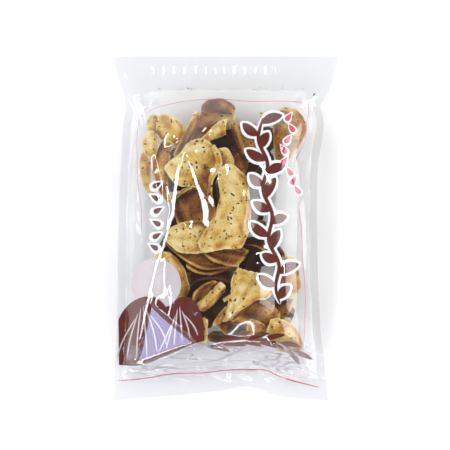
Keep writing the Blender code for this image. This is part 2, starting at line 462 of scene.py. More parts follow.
def joined(bodies):
    """Several (points, faces) as one."""
    shifts = np.cumsum([0] + [len(points) for points, _ in bodies[:-1]])
    return (
        np.concatenate([points for points, _ in bodies]),
        np.concatenate([faces + shift for (_, faces), shift in zip(bodies, shifts)]),
    )


def piece(name, body, material, slot, crisp=None, **values):
    """An object of the bag from (points, faces), with a named number at each point for the material, and
    edges bent by more than crisp degrees left sharp."""
    points, faces = body
    mesh = bpy.data.meshes.new(name)
    mesh.vertices.add(len(points))
    mesh.vertices.foreach_set("co", points.astype(np.float32).ravel())
    mesh.loops.add(faces.size)
    mesh.loops.foreach_set("vertex_index", faces.astype(np.int32).ravel())
    mesh.polygons.add(len(faces))
    mesh.polygons.foreach_set("loop_start", np.arange(len(faces), dtype=np.int32) * faces.shape[1])
    for label, numbers in values.items():
        attribute = mesh.attributes.new(label, "FLOAT", "POINT")
        attribute.data.foreach_set("value", numbers.astype(np.float32).ravel())
    mesh.update(calc_edges=True)
    mesh.validate()
    mesh.shade_smooth()
    if crisp:
        mesh.set_sharp_from_angle(angle=np.radians(crisp))
    mesh.materials.append(material)
    made = bpy.data.objects.new(name, mesh)
    bpy.context.scene.collection.objects.link(made)
    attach(made, "root")
    return made


def rounded_square(rows, columns, start_rounding, end_rounding, crowding=0.5):
    """A grid over a square whose corners are drawn in: X = a sqrt(1 - e b^2 / 2), Y = b sqrt(1 - e a^2 / 2)
    with e from 0, a square, to 1, a disc. Its lines crowd towards the edge."""
    def stations(count):
        even = np.linspace(-1, 1, count)
        return (1 - crowding) * even + crowding * np.sin(even * np.pi / 2)

    a, b = np.meshgrid(stations(rows), stations(columns), indexing="ij")
    e = np.where(a < 0, start_rounding, end_rounding)
    edge = np.maximum(np.abs(a), np.abs(b))
    return a * np.sqrt(1 - e * b**2 / 2), b * np.sqrt(1 - e * a**2 / 2), edge


# ---------------------------------------------------------------- node trees


class Tree:
    """A short way to write the nodes of a new material or world. A method gives an output to link from, but
    node gives the node, and finish the material or world."""

    def __init__(self, owner, end="OutputMaterial"):
        owner.use_nodes = True
        self.owner = owner
        self.nodes, self.links = owner.node_tree.nodes, owner.node_tree.links
        self.nodes.clear()
        self.output = self.nodes.new("ShaderNode" + end)

    def node(self, kind, settings=None, **inputs):
        """A node with its settings, and its inputs set from a number, a colour or another's output. An input
        goes by its name, with _ for a space, or as i0, i1 and so on by its place in the node."""
        made = self.nodes.new("ShaderNode" + kind)
        for key, value in (settings or {}).items():
            setattr(made, key, value)
        for key, value in inputs.items():
            socket = made.inputs[int(key[1:]) if key[1:].isdigit() else key.replace("_", " ")]
            if isinstance(value, bpy.types.NodeSocket):
                self.links.new(value, socket)
            else:
                socket.default_value = value
        return made

    def place(self):
        """Where a point is on the object, in metres."""
        return self.node("TexCoord").outputs["Object"]

    def noise(self, scale, detail=3.0, roughness=0.55, at=None):
        """Soft noise from 0 to 1, of scale patches a metre."""
        inputs = {"Scale": scale, "Detail": detail, "Roughness": roughness}
        return self.node("TexNoise", Vector=at or self.place(), **inputs).outputs["Fac"]

    def span(self, value, low, high, to_low=0.0, to_high=1.0):
        """value from low..high stretched to to_low..to_high and held at the ends."""
        made = self.node("MapRange", i0=value, i1=low, i2=high, i3=to_low, i4=to_high)
        return made.outputs[0]

    def math(self, operation, first, second=0.0):
        """One of Blender's Math operations, on one or two values."""
        return self.node("Math", {"operation": operation}, i0=first, i1=second).outputs[0]

    def ramp(self, value, *stops):
        """Colours blended along stops of (position, colour)."""
        made = self.node("ValToRGB", i0=value)
        elements = made.color_ramp.elements
        while len(elements) < len(stops):
            elements.new(0.5)
        for element, (position, colour) in zip(elements, stops):
            element.position = position
            element.color = (*colour, 1.0)
        return made.outputs["Color"]

    def blend(self, share, first, second, how="MIX"):
        """The first colour, with that share of the second mixed in, or multiplied in."""
        made = self.node("Mix", {"data_type": "RGBA", "blend_type": how}, i0=share, i6=first, i7=second)
        return made.outputs[2]

    def bump(self, height, depth, strength=1.0):
        """A normal from a height of 0 to 1, depth metres deep."""
        made = self.node("Bump", Height=height, Distance=depth, Strength=strength)
        return made.outputs["Normal"]

    def finish(self, shader):
        """The material or world, with that shader as its surface."""
        self.links.new(shader.outputs[0], self.output.inputs["Surface"])
        return self.owner


def material_tree(name):
    """The empty tree of a new material."""
    return Tree(bpy.data.materials.new(name))


def karinto_dough():
    """Fried dough, slightly oily and finely pitted: pale golden where its browning and painted shade add to 0
    and almost black where they add to 1, with clouds, grain and dark flecks over that."""
    tree = material_tree("fried karinto dough")
    browning = tree.node("Attribute", {"attribute_name": "browning"}).outputs["Fac"]
    cloudy = tree.span(tree.noise(110, 5, 0.65), 0.3, 0.7, -0.16, 0.16)
    fine = tree.span(tree.noise(700, 3, 0.7), 0.3, 0.7, -0.13, 0.13)
    amount = tree.math("ADD", tree.math("ADD", browning, cloudy), fine)
    colour = tree.ramp(
        amount,
        (0.00, (0.77, 0.63, 0.31)),
        (0.25, (0.64, 0.425, 0.100)),
        (0.50, (0.43, 0.185, 0.040)),
        (0.75, (0.22, 0.070, 0.018)),
        (1.00, (0.060, 0.022, 0.009)),
    )
    flecks = tree.span(tree.noise(620, 1), 0.66, 0.72)
    colour = tree.blend(tree.math("MULTIPLY", flecks, 0.35), colour, (0.16, 0.07, 0.025, 1.0))
    pitted = tree.math("ADD", tree.noise(700, 3), tree.math("MULTIPLY", tree.noise(210, 2), 1.5))
    return tree.finish(
        tree.node(
            "BsdfPrincipled",
            Base_Color=colour,
            Roughness=0.62,
            Specular_IOR_Level=0.18,
            Normal=tree.bump(pitted, 0.0013, 0.75),
        )
    )


def sesame_seed():
    """Black seeds, some of them browned through by the dough that still covers them."""
    tree = material_tree("black sesame")
    covered = tree.node("Attribute", {"attribute_name": "covered"}).outputs["Fac"]
    colour = tree.ramp(
        covered,
        (0.0, (0.012, 0.009, 0.008)),
        (0.6, (0.035, 0.02, 0.012)),
        (1.0, (0.19, 0.095, 0.035)),
    )
    speckle = tree.span(tree.noise(2600, 2), 0.35, 0.7, 0.75, 1.35)
    colour = tree.blend(1.0, colour, tree.ramp(speckle, (0, (0.7,) * 3), (1, (1,) * 3)), "MULTIPLY")
    return tree.finish(tree.node("BsdfPrincipled", Base_Color=colour, Roughness=0.45))


def clear_film():
    """Thin clear plastic: it lets the light through, mirrors a little of it, more at a glancing view,
    and has a faint milky veil, thicker over crumpled film, where dark lines of painted shade are drawn along
    noise for the shade of its creases."""
    tree = material_tree("clear film")
    through_film = tree.node("BsdfTransparent", Color=(0.982, 0.986, 0.990, 1.0))
    crumpled = tree.node("Attribute", {"attribute_name": "crumpled"}).outputs["Fac"]
    fine = tree.bump(tree.noise(160, 2), 0.0004, 0.03)
    mirror = tree.node("BsdfGlossy", Color=(1.0, 1.0, 1.0, 1.0), Roughness=0.07, Normal=fine)
    # painted shade: dark violet lines along stretched noise over the crumpled film, standing in for the shade
    # of its creases
    drawn = tree.node("Mapping", Vector=tree.place(), Scale=(0.30, 1.5, 1.0)).outputs[0]
    off_crease = tree.math("ABSOLUTE", tree.math("SUBTRACT", tree.noise(70, 1.2, 0.5, drawn), 0.5))
    line = tree.math("MULTIPLY", crumpled, tree.span(off_crease, 0.0, 0.035, 1.0, 0.0))
    crease_shaded_milk = tree.blend(line, (0.93, 0.94, 0.96, 1.0), (0.24, 0.17, 0.28, 1.0))
    veil = tree.node("BsdfDiffuse", Color=crease_shaded_milk)
    dull = tree.math("ADD", tree.math("MULTIPLY", crumpled, 0.12), tree.math("MULTIPLY", line, 0.45))
    milky = tree.math("ADD", dull, tree.span(tree.noise(30, 3), 0.35, 0.7, 0.001, 0.004))
    body = tree.node("MixShader", i0=milky, i1=through_film.outputs[0], i2=veil.outputs[0])
    facing = tree.node("LayerWeight", Blend=0.5).outputs["Facing"]
    gloss = tree.span(tree.math("POWER", facing, 3.0), 0.0, 1.0, 0.085, 0.25)
    return tree.finish(tree.node("MixShader", i0=gloss, i1=body.outputs[0], i2=mirror.outputs[0]))


def ink(name, colour, unevenness=0.12):
    """Printed ink, a little uneven in its depth of colour."""
    tree = material_tree(name)
    patchy = tree.span(tree.noise(260, 3), 0.3, 0.7, 1 - unevenness, 1 + unevenness)
    shade = tree.ramp(patchy, (0.0, (0, 0, 0)), (1.0, (1, 1, 1)))
    made = tree.blend(1.0, (*colour, 1.0), shade, "MULTIPLY")
    return tree.finish(tree.node("BsdfPrincipled", Base_Color=made, Roughness=0.6, Specular_IOR_Level=0.2))


def white_ground():
    """The pale floor that the bag lies on."""
    tree = material_tree("pale floor")
    faint = tree.ramp(tree.noise(3, 2), (0.3, (0.90, 0.90, 0.90)), (0.7, (0.92, 0.92, 0.92)))
    return tree.finish(tree.node("BsdfPrincipled", Base_Color=faint, Roughness=0.9))


# ---------------------------------------------------------------- karinto

THICKNESS = 2.3 * MM
FILM_GAP = 1.1 * MM  # between the film and the nearest karinto, the print included
TOUCHING = 0.3 * MM
RIM_SWAY, RIM_TEAR = 0.010, 0.0042  # how far the rim runs in and out, as shares of its half size
ROLL = (0.5 * MM, 0.026, 5)  # the size, the length and the count of the waves of a strip's faces
UNEVEN = (0.08, 0.018, 5)  # of the waves of its thickness, as a share of it
GRAIN = (0.08 * MM, 0.0045, 8)  # of its crust
SPOTS = (0.09, 0.015, 6)  # and of its browning
BLISTERS = 14
BLISTER_RADIUS, BLISTER_HEIGHT = (1.0, 2.8), (0.1, 0.35)  # in mm
CRISP = 48  # degrees that an edge has to be bent by to look sharp
THIN_RIM = 0.62  # of the full thickness
RIM_BROWNING = (0.10, 3.2, 1.6)  # how much browner, at how many mm from the rim, and over how many
RIM_PALE_AND_HIGHLIGHT = (0.24, 1.3)  # how much paler the rim itself is, partly its own cut-edge colour and partly a painted highlight, and over how many mm
TILT_SHADE = 0.6  # painted shade: how much browner the steep sides of a curl are made than its level crown
UNDERSIDE_BROWNING = 0.08
CELL = 2.0 * MM  # of the maps that keep one karinto clear of the next
MAP_LOW = np.array([-0.110, -0.160])
MAP_CELLS = (110, 160)
LEANS = np.linspace(-0.28, 0.28, 9)  # slopes that a karinto may lean by, to lie closer to its neighbours
LEAN_EFFORT = 0.006  # metres of travel that a slope of 1 has to be worth
DEEP_FROM, DEEP_TO = 0.004, 0.018  # painted shade: depths below the front film where karinto are not yet darkened and where they are darkest
SHOWN_DEPTH_SHADE, HIDDEN_DEPTH_SHADE = 0.36, 0.85  # painted shade: how much browner they are made there, shown and hidden
FRONT_GRID = (48, 27)
SMALL_GRID = (26, 15)  # for karinto shorter than SMALL
SMALL = 0.024
BACK_GRID = (30, 18)
TRIES, LAST_TRIES = 1500, 700  # at dropping the hidden karinto, anywhere and then where there is a hole
HIDDEN_LENGTH, HIDDEN_WIDTH = (42, 72), (24, 38)  # in mm, of the first of them
SHRINKING = 0.35  # of those sizes, from the first try to the last that goes anywhere
HOLE_SIZES = (0.35, 0.6)  # shares of those sizes, for the ones that fill a hole
HIDDEN_BROWN = (0.4, 0.7)
PILE_LEFT = (  # (y, x) of the heap's outline
    (-0.112, -0.042), (-0.090, -0.055), (-0.050, -0.061), (-0.015, -0.056), (0.010, -0.044),
    (0.022, -0.046), (0.038, -0.066), (0.060, -0.072), (0.078, -0.062), (0.100, -0.022),
)
PILE_RIGHT = (
    (-0.112, 0.056), (-0.090, 0.057), (-0.050, 0.059), (-0.025, 0.055), (-0.010, 0.044),
    (0.050, 0.042), (0.070, 0.060), (0.084, 0.050), (0.100, 0.020),
)
PILE_ENDS = (-0.098, 0.096)

# The karinto seen through the front film, nearest first, each by the outline that it shows from above. An
# outline has four sides, counter-clockwise from the right end of its foot: right side, head, left side and
# foot. Each side is the points (x, y, height) in mm from its own first corner up to the next side's. After
# them come the swell of its middle in mm, how round the corners of foot and head are, how brown it is (0 to
# 1), how much browner it is painted at its head and at its left, which is painted shade, and how ragged its
# edge is.
SHOWN = {
    "hero": (
        ((14, -17, -5), (21, -3, -5), (22.5, 12, -5), (21, 30, -6)),
        ((18, 44, -6), (12.5, 52.5, -4), (4.5, 55.5, -3), (-3, 53, -4)),
        ((-6, 46, -5), (-5.5, 35, -4), (-4.5, 24, -4), (-9, 11, -5), (-17, 0, -6)),
        ((-23.5, -13, -6), (-20, -20, -5), (-6, -19, 0)),
        2.0, (0.12, 0.10), (0.14, -0.04, -0.09), 0.9,
    ),
    "triangle": (
        ((0, -80, -5), (9, -75, -4), (18, -68, -3), (27, -62, -3), (36, -61, -4)),
        ((43, -56, -5), (40, -45, -3), (33, -40, -2), (25, -37, -2)),
        ((11, -34, -3), (6, -43, -1), (5, -55, -1), (2, -69, -3)),
        ((-2, -81, -5),),
        1.5, (0.04, 0.09), (0.16, 0.0, 0.0), 2.2,
    ),
    "corner_leaf": (
        ((63, -113, -6), (67, -108, -5), (68, -99, -4)),
        ((64, -88, -4), (56, -83, -2), (46, -78, -1)),
        ((39, -79, -1), (36, -90, -1)),
        ((34, -99, -2), (48, -107, -3)),
        1.5, (0.11, 0.11), (0.30, 0.0, 0.0), 1.2,
    ),
    "bowl_rim": (
        ((-10, 22, -4), (-11, 33, -2), (-10, 42, -1), (-5, 50, 0), (-2, 57, 0), (-4, 65, 0)),
        ((-9, 73, -1), (-12, 72, -1)),
        ((-8, 65, -1), (-6, 57, -1), (-9, 50, -1), (-14, 42, -2), (-15, 33, -3)),
        ((-14, 22, -5),),
        0.6, (0.14, 0.14), (0.14, 0.0, 0.0), 0.6,
    ),
    "bowl": (
        ((-11, 22, -5), (-13, 33, -4), (-12, 42, -3), (-7, 50, -2)),
        ((-5, 57, -2), (-7, 66, -2), (-13, 74, -1), (-21, 79, -1), (-29, 76, -2)),
        ((-36, 67, -3), (-46, 60, -5)),
        ((-54, 53, -7), (-47, 43, -4), (-39, 37, 0), (-28, 36, 0), (-18, 28, -5)),
        1.0, (0.10, 0.12), (0.08, -0.04, -0.12), 0.8,
    ),
    "left_leaf": (
        ((-52, -11, -3), (-46, -16, -3), (-39, -20, -3), (-28, -22, -2)),
        ((-14, -20, -3), (-10, -8, -3)),
        ((-15, 6, -6), (-28, 7, -5), (-37, 5, -5)),
        ((-46, 1, -5), (-51, -5, -4)),
        2.5, (0.16, 0.16), (0.10, 0.0, 0.0), 1.0,
    ),
    "ledge": (
        ((-19, -22, -1), (-13, -27, 0), (-4, -31, 0), (4, -33, 0)),
        ((12, -34, -1), (15, -28, -3)),
        ((22, -19, -8), (8, -14, -9), (-6, -14, -9)),
        ((-17, -17, -5),),
        -1.0, (0.11, 0.07), (0.30, 0.0, 0.0), 1.2,
    ),
    "boat": (
        ((-52, -13, -2), (-39, -25, 0), (-30, -31, 0), (-21, -35, 0), (-11, -36, -1), (0, -34, -2)),
        ((10, -31, -4), (9, -25, -9)),
        ((4, -16, -14), (-20, -12, -14)),
        ((-47, -6, -8),),
        -2.5, (0.11, 0.11), (0.36, 0.0, 0.0), 0.8,
    ),
    "upright": (
        ((-34, -60, -9), (-31, -51, -9), (-33, -42, -8), (-37, -33, -7)),
        ((-42, -25, -5), (-50, -20, -1)),
        ((-58, -17, -4), (-63, -30, -5), (-62, -48, -5)),
        ((-54, -63, -6), (-45, -63, -2)),
        1.0, (0.14, 0.11), (0.20, 0.0, 0.0), 1.0,
    ),
    "oval": (
        ((-62, 60, -3), (-59, 69, -3), (-59, 78, -3)),
        ((-63, 86, -4),),
        ((-67, 86, -4), (-71, 78, -3), (-72, 70, -3)),
        ((-66, 61, -3),),
        2.5, (0.22, 0.22), (0.10, 0.0, 0.0), 0.8,
    ),
    "corner": (
        ((-41, 71, -3), (-36, 81, -3)),
        ((-36, 90, -3), (-42, 96, -1), (-50, 100, -2)),
        ((-56, 101, -4), (-60, 93, -3), (-60, 84, -3)),
        ((-54, 77, -2), (-48, 75, 0)),
        1.5, (0.11, 0.05), (0.16, 0.0, 0.0), 1.2,
    ),
    "corner_left": (
        ((-59, 85, -3),),
        ((-57, 97, -4), (-62, 100, -4)),
        ((-66, 97, -5), (-69, 91, -4)),
        ((-66, 85, -3), (-62, 83, -2)),
        1.0, (0.18, 0.22), (0.26, 0.0, 0.0), 0.8,
    ),
    "wedge": (
        ((-17, 76, -3), (-6, 79, -4)),
        ((1, 82, -5), (0, 88, -3), (1, 92, -2)),
        ((3, 96, -1), (-4, 94, 0), (-11, 88, 0)),
        ((-21, 78, -1),),
        1.0, (0.07, 0.07), (0.20, 0.0, 0.0), 0.8,
    ),
    "hollow_wall": (
        ((17, 65, -6), (14, 76, -4), (11, 86, -2)),
        ((8, 93, -1), (3, 96, -1)),
        ((4, 92, -2), (7, 86, -4), (9, 78, -6), (10, 70, -8)),
        ((13, 64, -9),),
        0.0, (0.07, 0.07), (0.66, 0.0, 0.15), 0.8,
    ),
    "blade": (
        ((-43, 63, -3), (-34, 73, -5), (-28, 83, -6), (-25, 94, -7)),
        ((-24, 103, -8),),
        ((-27, 102, -4), (-31, 93, -1), (-36, 83, 0), (-41, 73, 0)),
        ((-45, 63, -1),),
        0.5, (0.07, 0.07), (0.14, 0.0, 0.0), 0.8,
    ),
    "peak_cap": (
        ((8, 101, -3), (9, 105, -3)),
        ((8, 108, -4), (3, 111, -4), (-3, 114, -4), (-10, 114, -5)),
        ((-17, 112, -5), (-20, 108, -4)),
        ((-21, 102, -3), (-12, 100, -1), (-2, 101, -1)),
        1.5, (0.10, 0.14), (0.62, 0.10, 0.0), 1.0,
    ),
    "peak": (
        ((6, 88, -2), (9, 96, -1)),
        ((9, 104, -3), (-4, 107, -5), (-16, 107, -6)),
        ((-21, 103, -7), (-24, 97, -8), (-26, 89, -10)),
        ((-30, 77, -12), (-20, 76, -9), (-8, 84, -5)),
        0.0, (0.07, 0.07), (0.14, -0.22, 0.24), 1.0,
    ),
    "far_right": (
        ((52, 56, -6), (60, 66, -5), (68, 78, -5), (72, 90, -6)),
        ((68, 99, -7), (61, 106, -6), (53, 107, -5)),
        ((43, 100, -5), (42, 85, -2), (43, 70, -2)),
        ((45, 57, -4),),
        2.0, (0.14, 0.11), (0.38, 0.0, 0.0), 0.8,
    ),
    "right_leg": (
        ((30, 63, -6), (31, 80, -6)),
        ((27, 93, -5), (18, 94, -3)),
        ((9, 93, -2), (13, 79, -1), (17, 68, -1)),
        ((22, 60, -3),),
        1.0, (0.07, 0.07), (0.08, 0.0, 0.0), 0.8,
    ),
    "column": (
        ((62, -60, -3), (66, -52, -4), (65, -40, -5)),
        ((61, -26, -6),),
        ((50, -22, -4), (47, -42, -2)),
        ((50, -60, -1),),
        1.5, (0.05, 0.14), (0.46, 0.0, 0.0), 1.0,
    ),
    "little_leaf": (
        ((33, -98, -7), (35, -91, -5)),
        ((35, -84, -3), (28, -80, 0)),
        ((22, -78, -1), (19, -86, -1), (20, -93, -3)),
        ((23, -99, -5),),
        1.5, (0.14, 0.11), (0.34, 0.0, 0.0), 1.6,
    ),
    "curl": (
        ((6, 52, -3), (8, 59, -2)),
        ((5, 66, -1), (2, 70, 0)),
        ((-6, 70, -1), (-3, 63, -2)),
        ((-1, 53, -4),),
        1.0, (0.11, 0.11), (0.14, 0.0, 0.15), 0.6,
    ),
    "drop": (
        ((18, 49, -3), (20, 57, -3)),
        ((16, 64, -3), (12, 66, -1)),
        ((8, 63, -2), (7, 56, -1)),
        ((11, 49, -2),),
        1.0, (0.14, 0.14), (0.34, 0.0, 0.0), 0.8,
    ),
    "long_left": (
        ((-46, 25, -5), (-50, 45, -2), (-48, 62, -1)),
        ((-47, 75, -4), (-52, 77, -2)),
        ((-56, 76, -4), (-60, 66, -4), (-62, 52, -4), (-57, 34, -5)),
        ((-50, 22, -6),),
        1.5, (0.11, 0.11), (0.12, 0.0, 0.0), 0.8,
    ),
    "edge_left": (
        ((-62, 30, -5), (-65, 45, -3), (-66, 60, -3)),
        ((-68, 70, -4),),
        ((-73, 68, -5), (-75, 55, -4), (-73, 42, -4)),
        ((-67, 30, -5),),
        1.0, (0.14, 0.14), (0.18, 0.0, 0.0), 0.8,
    ),
    "cup_rim": (
        ((-28, 35, 0), (-28, 37, 0)),
        ((-36, 35, 0), (-41, 31, -1)),
        ((-46, 26, -3), (-47, 23, -5)),
        ((-43, 26, -3), (-35, 32, -1)),
        0.4, (0.18, 0.18), (0.12, 0.0, 0.0), 0.6,
    ),
    "cup": (
        ((-8, 0, -6), (-8, 18, -8)),
        ((-14, 38, -6), (-24, 37, -2), (-34, 33, 0)),
        ((-43, 28, 0), (-45, 16, -1)),
        ((-42, 4, -3), (-24, -4, -5)),
        -8.0, (0.11, 0.07), (0.24, 0.10, -0.06), 0.8,
    ),
    "boat_rim": (
        ((-34, -33, -2), (-28, -37, 0), (-21, -40, 0), (-14, -41, 0), (-5, -39, -1), (3, -36, -1)),
        ((11, -33, -3),),
        ((10, -28, -12), (-12, -28, -14)),
        ((-33, -26, -10),),
        -1.0, (0.11, 0.11), (0.34, 0.0, 0.0), 0.8,
    ),
    "roll": (
        ((-18, -70, -6), (-9, -63, -5)),
        ((0, -55, -5), (0, -49, -1)),
        ((-4, -46, -2), (-14, -56, -1)),
        ((-25, -66, -3), (-23, -70, -1)),
        3.0, (0.11, 0.14), (0.12, 0.0, 0.0), 0.8,
    ),
    "roll_back": (
        ((-24, -67, -7), (-14, -57, -8)),
        ((-5, -47, -6),),
        ((-10, -45, -3), (-19, -50, -1), (-27, -57, -1)),
        ((-29, -65, -2),),
        -2.0, (0.11, 0.11), (0.44, 0.0, 0.0), 0.8,
    ),
    "arch": (
        ((-31, -52, -3), (-25, -47, 0), (-18, -45, 0), (-9, -44, 0), (0, -46, -1)),
        ((7, -48, -3), (7, -44, -6)),
        ((6, -38, -11), (-12, -34, -12)),
        ((-34, -36, -10), (-33, -44, -6)),
        -1.0, (0.07, 0.07), (0.42, 0.0, 0.0), 0.8,
    ),
    "strap": (
        ((10, -17, -2), (22, -15, 0), (33, -19, 0)),
        ((41, -26, -2),),
        ((43, -18, -6), (30, -11, -7)),
        ((11, -11, -6),),
        0.0, (0.11, 0.11), (0.62, 0.0, 0.0), 0.8,
    ),
    "sliver": (
        ((30, -10, -2), (35, -4, -3)),
        ((36, 6, -5),),
        ((22, 8, -4),),
        ((21, -1, -1),),
        0.5, (0.07, 0.07), (0.40, 0.0, 0.0), 0.8,
    ),
    "splint": (
        ((-9, -85, -3), (-3, -80, -2)),
        ((2, -73, -2),),
        ((1, -67, 0), (-6, -75, 0)),
        ((-11, -83, -2),),
        0.5, (0.11, 0.11), (0.32, 0.0, 0.0), 0.8,
    ),
    "splinter": (
        ((-1, -63, -1),),
        ((6, -60, -1),),
        ((6, -56, 0),),
        ((-2, -62, 0),),
        0.0, (0.07, 0.07), (0.16, 0.0, 0.0), 0.6,
    ),
    "back_leaf": (
        ((6, -82, -2), (14, -86, -3), (24, -92, -6)),
        ((46, -88, -8), (48, -76, -5)),
        ((37, -62, -3), (26, -61, -1), (16, -70, 0)),
        ((5, -80, -1),),
        1.0, (0.07, 0.11), (0.42, 0.0, 0.0), 1.2,
    ),
    "under_column": (
        ((54, -77, -3), (58, -70, -2)),
        ((60, -62, -4),),
        ((45, -61, -6), (44, -72, -5)),
        ((50, -78, -4),),
        1.0, (0.11, 0.07), (0.48, 0.0, 0.0), 0.8,
    ),
    "curl_back": (
        ((3, 53, -8),),
        ((1, 68, -8),),
        ((-6, 69, -4), (-4, 60, -6)),
        ((-3, 53, -7),),
        0.0, (0.11, 0.11), (0.7, 0.0, 0.0), 0.6,
    ),
    "peg": (
        ((-16, -100, -5),),
        ((-15, -79, -2),),
        ((-21, -76, 0),),
        ((-22, -99, -4),),
        0.5, (0.11, 0.07), (0.30, 0.0, 0.0), 0.8,
    ),
    "base": (
        ((0, -93, -6), (5, -89, -6)),
        ((9, -84, -6),),
        ((-1, -80, -3),),
        ((-8, -84, -2),),
        0.5, (0.11, 0.11), (0.45, 0.0, 0.0), 0.8,
    ),
    "foot_left": (
        ((9, -98, -8), (11, -94, -7)),
        ((9, -91, -7), (-3, -90, -5), (-12, -91, -6)),
        ((-16, -94, -7),),
        ((-14, -99, -8), (-3, -100, -7)),
        1.0, (0.11, 0.11), (0.60, 0.0, 0.0), 0.8,
    ),
    "foot_right": (
        ((42, -103, -6), (43, -97, -5)),
        ((39, -91, -4), (25, -89, -2), (14, -90, -3)),
        ((8, -93, -4),),
        ((9, -99, -6), (26, -102, -5)),
        1.0, (0.11, 0.11), (0.38, 0.0, 0.0), 0.8,
    ),
    "crumb_top": (
        ((33, 98, 0),),
        ((35, 101, 0),),
        ((31, 102, 0),),
        ((30, 99, 0),),
        0.5, (0.25, 0.25), (0.24, 0.0, 0.0), 0.6,
    ),
    "crumb_right": (
        ((50, -82, 0),),
        ((58, -83, 0),),
        ((57, -78, 0),),
        ((51, -79, 0),),
        0.5, (0.22, 0.22), (0.5, 0.0, 0.0), 0.6,
    ),
}


class Karinto:
    """One thin curled strip of fried dough, as an upper and a lower grid. To both sides of its middle surface
    lies half its thickness times 0.62 + 0.38 sqrt(1 - 0.999 edge^24), and on that its crust."""

    def __init__(self, right, head, left, foot, swell, rounding, brown, ragged, grid, rng):
        x, y, edge = rounded_square(*grid, *rounding)
        swayed = 1 + self.rim_sway(np.arctan2(y, x), ragged, rng) * edge**6
        x, y = x * swayed, y * swayed
        middle = self.mid_surface(x, y, [right, head, left, foot]) * MM
        middle[..., 2] += swell * MM * (1 - x**2) * (1 - y**2)
        length, breadth = np.ptp(middle[:, :, 1]), np.ptp(middle[:, :, 0])
        along, beside = x * length / 2, y * breadth / 2
        outward = normals_of(middle)
        rolling = relief(along, beside, rng, *ROLL)
        thick = THICKNESS * (1 + relief(along, beside, rng, *UNEVEN))
        half = thick / 2 * (THIN_RIM + (1 - THIN_RIM) * np.sqrt(1 - 0.999 * edge**24))
        self.top = middle + outward * (rolling + half + self.crust(along, beside, rng))[..., None]
        self.bottom = middle + outward * (rolling - half - self.crust(along, beside, rng))[..., None]
        spots = relief(along, beside, rng, *SPOTS)
        # painted shade: shade_to_head and shade_to_left darken it evenly towards its head and towards its
        # left
        level, shade_to_head, shade_to_left = brown
        # partly painted highlight: the rim itself is made paler, as its cut edge is and as light catches it
        rim = self.rim_browning(np.clip(1 - edge, 0, 1) * min(length, breadth) / 2 / MM)
        # painted shade: the steep sides of the curl are made browner, for the light they miss
        tilt = TILT_SHADE * (1 - np.abs(outward[..., 2]))
        above = level + shade_to_head * x + shade_to_left * y + rim + spots + tilt
        self.browning = np.stack([above, above + UNDERSIDE_BROWNING])

    @staticmethod
    def rim_sway(angle, ragged, rng):
        """How far in and out the rim runs round the strip: sines of 3 to 8 turns, and for the torn edge of 13
        to 43, each of random size and start."""
        sway = np.zeros_like(angle)
        for turns in range(3, 9):
            sway += RIM_SWAY * rng.normal() * np.sin(turns * angle + rng.uniform(0, 6.28))
        for turns in range(13, 44, 3):
            sway += RIM_TEAR * ragged * rng.normal() * np.sin(turns * angle + rng.uniform(0, 6.28))
        return sway

    @staticmethod
    def rim_browning(from_rim):
        """Browner by exp(-((distance - 3.2 mm) / 1.6 mm)^2), and paler at the rim itself by exp(-(distance /
        1.3 mm)^2): partly the cut edge's own paler colour and partly a painted highlight along it."""
        browner, middle, width = RIM_BROWNING
        paler, reach = RIM_PALE_AND_HIGHLIGHT
        band = browner * np.exp(-(((from_rim - middle) / width) ** 2))
        return band - paler * np.exp(-((from_rim / reach) ** 2))

    @staticmethod
    def mid_surface(x, y, sides):
        """The patch between four sides: each pair of opposite sides blended in a straight line, the two
        blends added, and the straight blend of the four corners taken off. x runs from foot to head and y
        from right to left, both from -1 to 1."""
        corners = [np.array(side[0], float) for side in sides]
        right, head, left, foot = (
            side_curve([*side, onward[0]]) for side, onward in zip(sides, [*sides[1:], sides[0]])
        )
        s, t = (x + 1) / 2, (y + 1) / 2
        sa, ta = s[..., None], t[..., None]
        along = (1 - ta) * right(s) + ta * left(1 - s)
        across = (1 - sa) * foot(1 - t) + sa * head(t)
        a, b, c, d = corners
        flat = (1 - sa) * (1 - ta) * a + sa * (1 - ta) * b + sa * ta * c + (1 - sa) * ta * d
        return along + across - flat

    @staticmethod
    def crust(along, beside, rng):
        """Short waves, and low blisters: height exp(-(distance / radius)^2), at random places."""
        grain = relief(along, beside, rng, *GRAIN)
        place = rng.uniform(-1, 1, (2, BLISTERS)) * [[np.abs(along).max()], [np.abs(beside).max()]]
        radius = rng.uniform(*BLISTER_RADIUS, BLISTERS) * MM
        height = rng.uniform(*BLISTER_HEIGHT, BLISTERS) * MM
        away = (along[..., None] - place[0]) ** 2 + (beside[..., None] - place[1]) ** 2
        return grain + (height * np.exp(-away / radius**2)).sum(-1)

    def points(self):
        """All its points, those of the upper face first."""
        return np.concatenate([self.top.reshape(-1, 3), self.bottom.reshape(-1, 3)])

    def body(self):
        """Its points and quads."""
        return slab(self.top, self.bottom)

    def shift(self, rise, lean=(0.0, 0.0), about=(0.0, 0.0)):
        """Raises it by rise + lean (distance from about)."""
        for side in (self.top, self.bottom):
            side[..., 2] += rise + (side[..., 0] - about[0]) * lean[0] + (side[..., 1] - about[1]) * lean[1]


def relief(along, beside, rng, size, length, count):
    """Size times that count of waves of about that length."""
    return size * waves(along, beside, rng, length, count)


def side_curve(points):
    """A smooth curve through a few points, read at shares of its length from 0 to 1."""
    points = np.array(points, float)
    steps = np.linalg.norm(np.diff(points, axis=0), axis=1)
    share = np.concatenate([[0], np.cumsum(steps) / steps.sum()])
    return lambda at: np.stack([through(np.column_stack([share, column]), at) for column in points.T], -1)


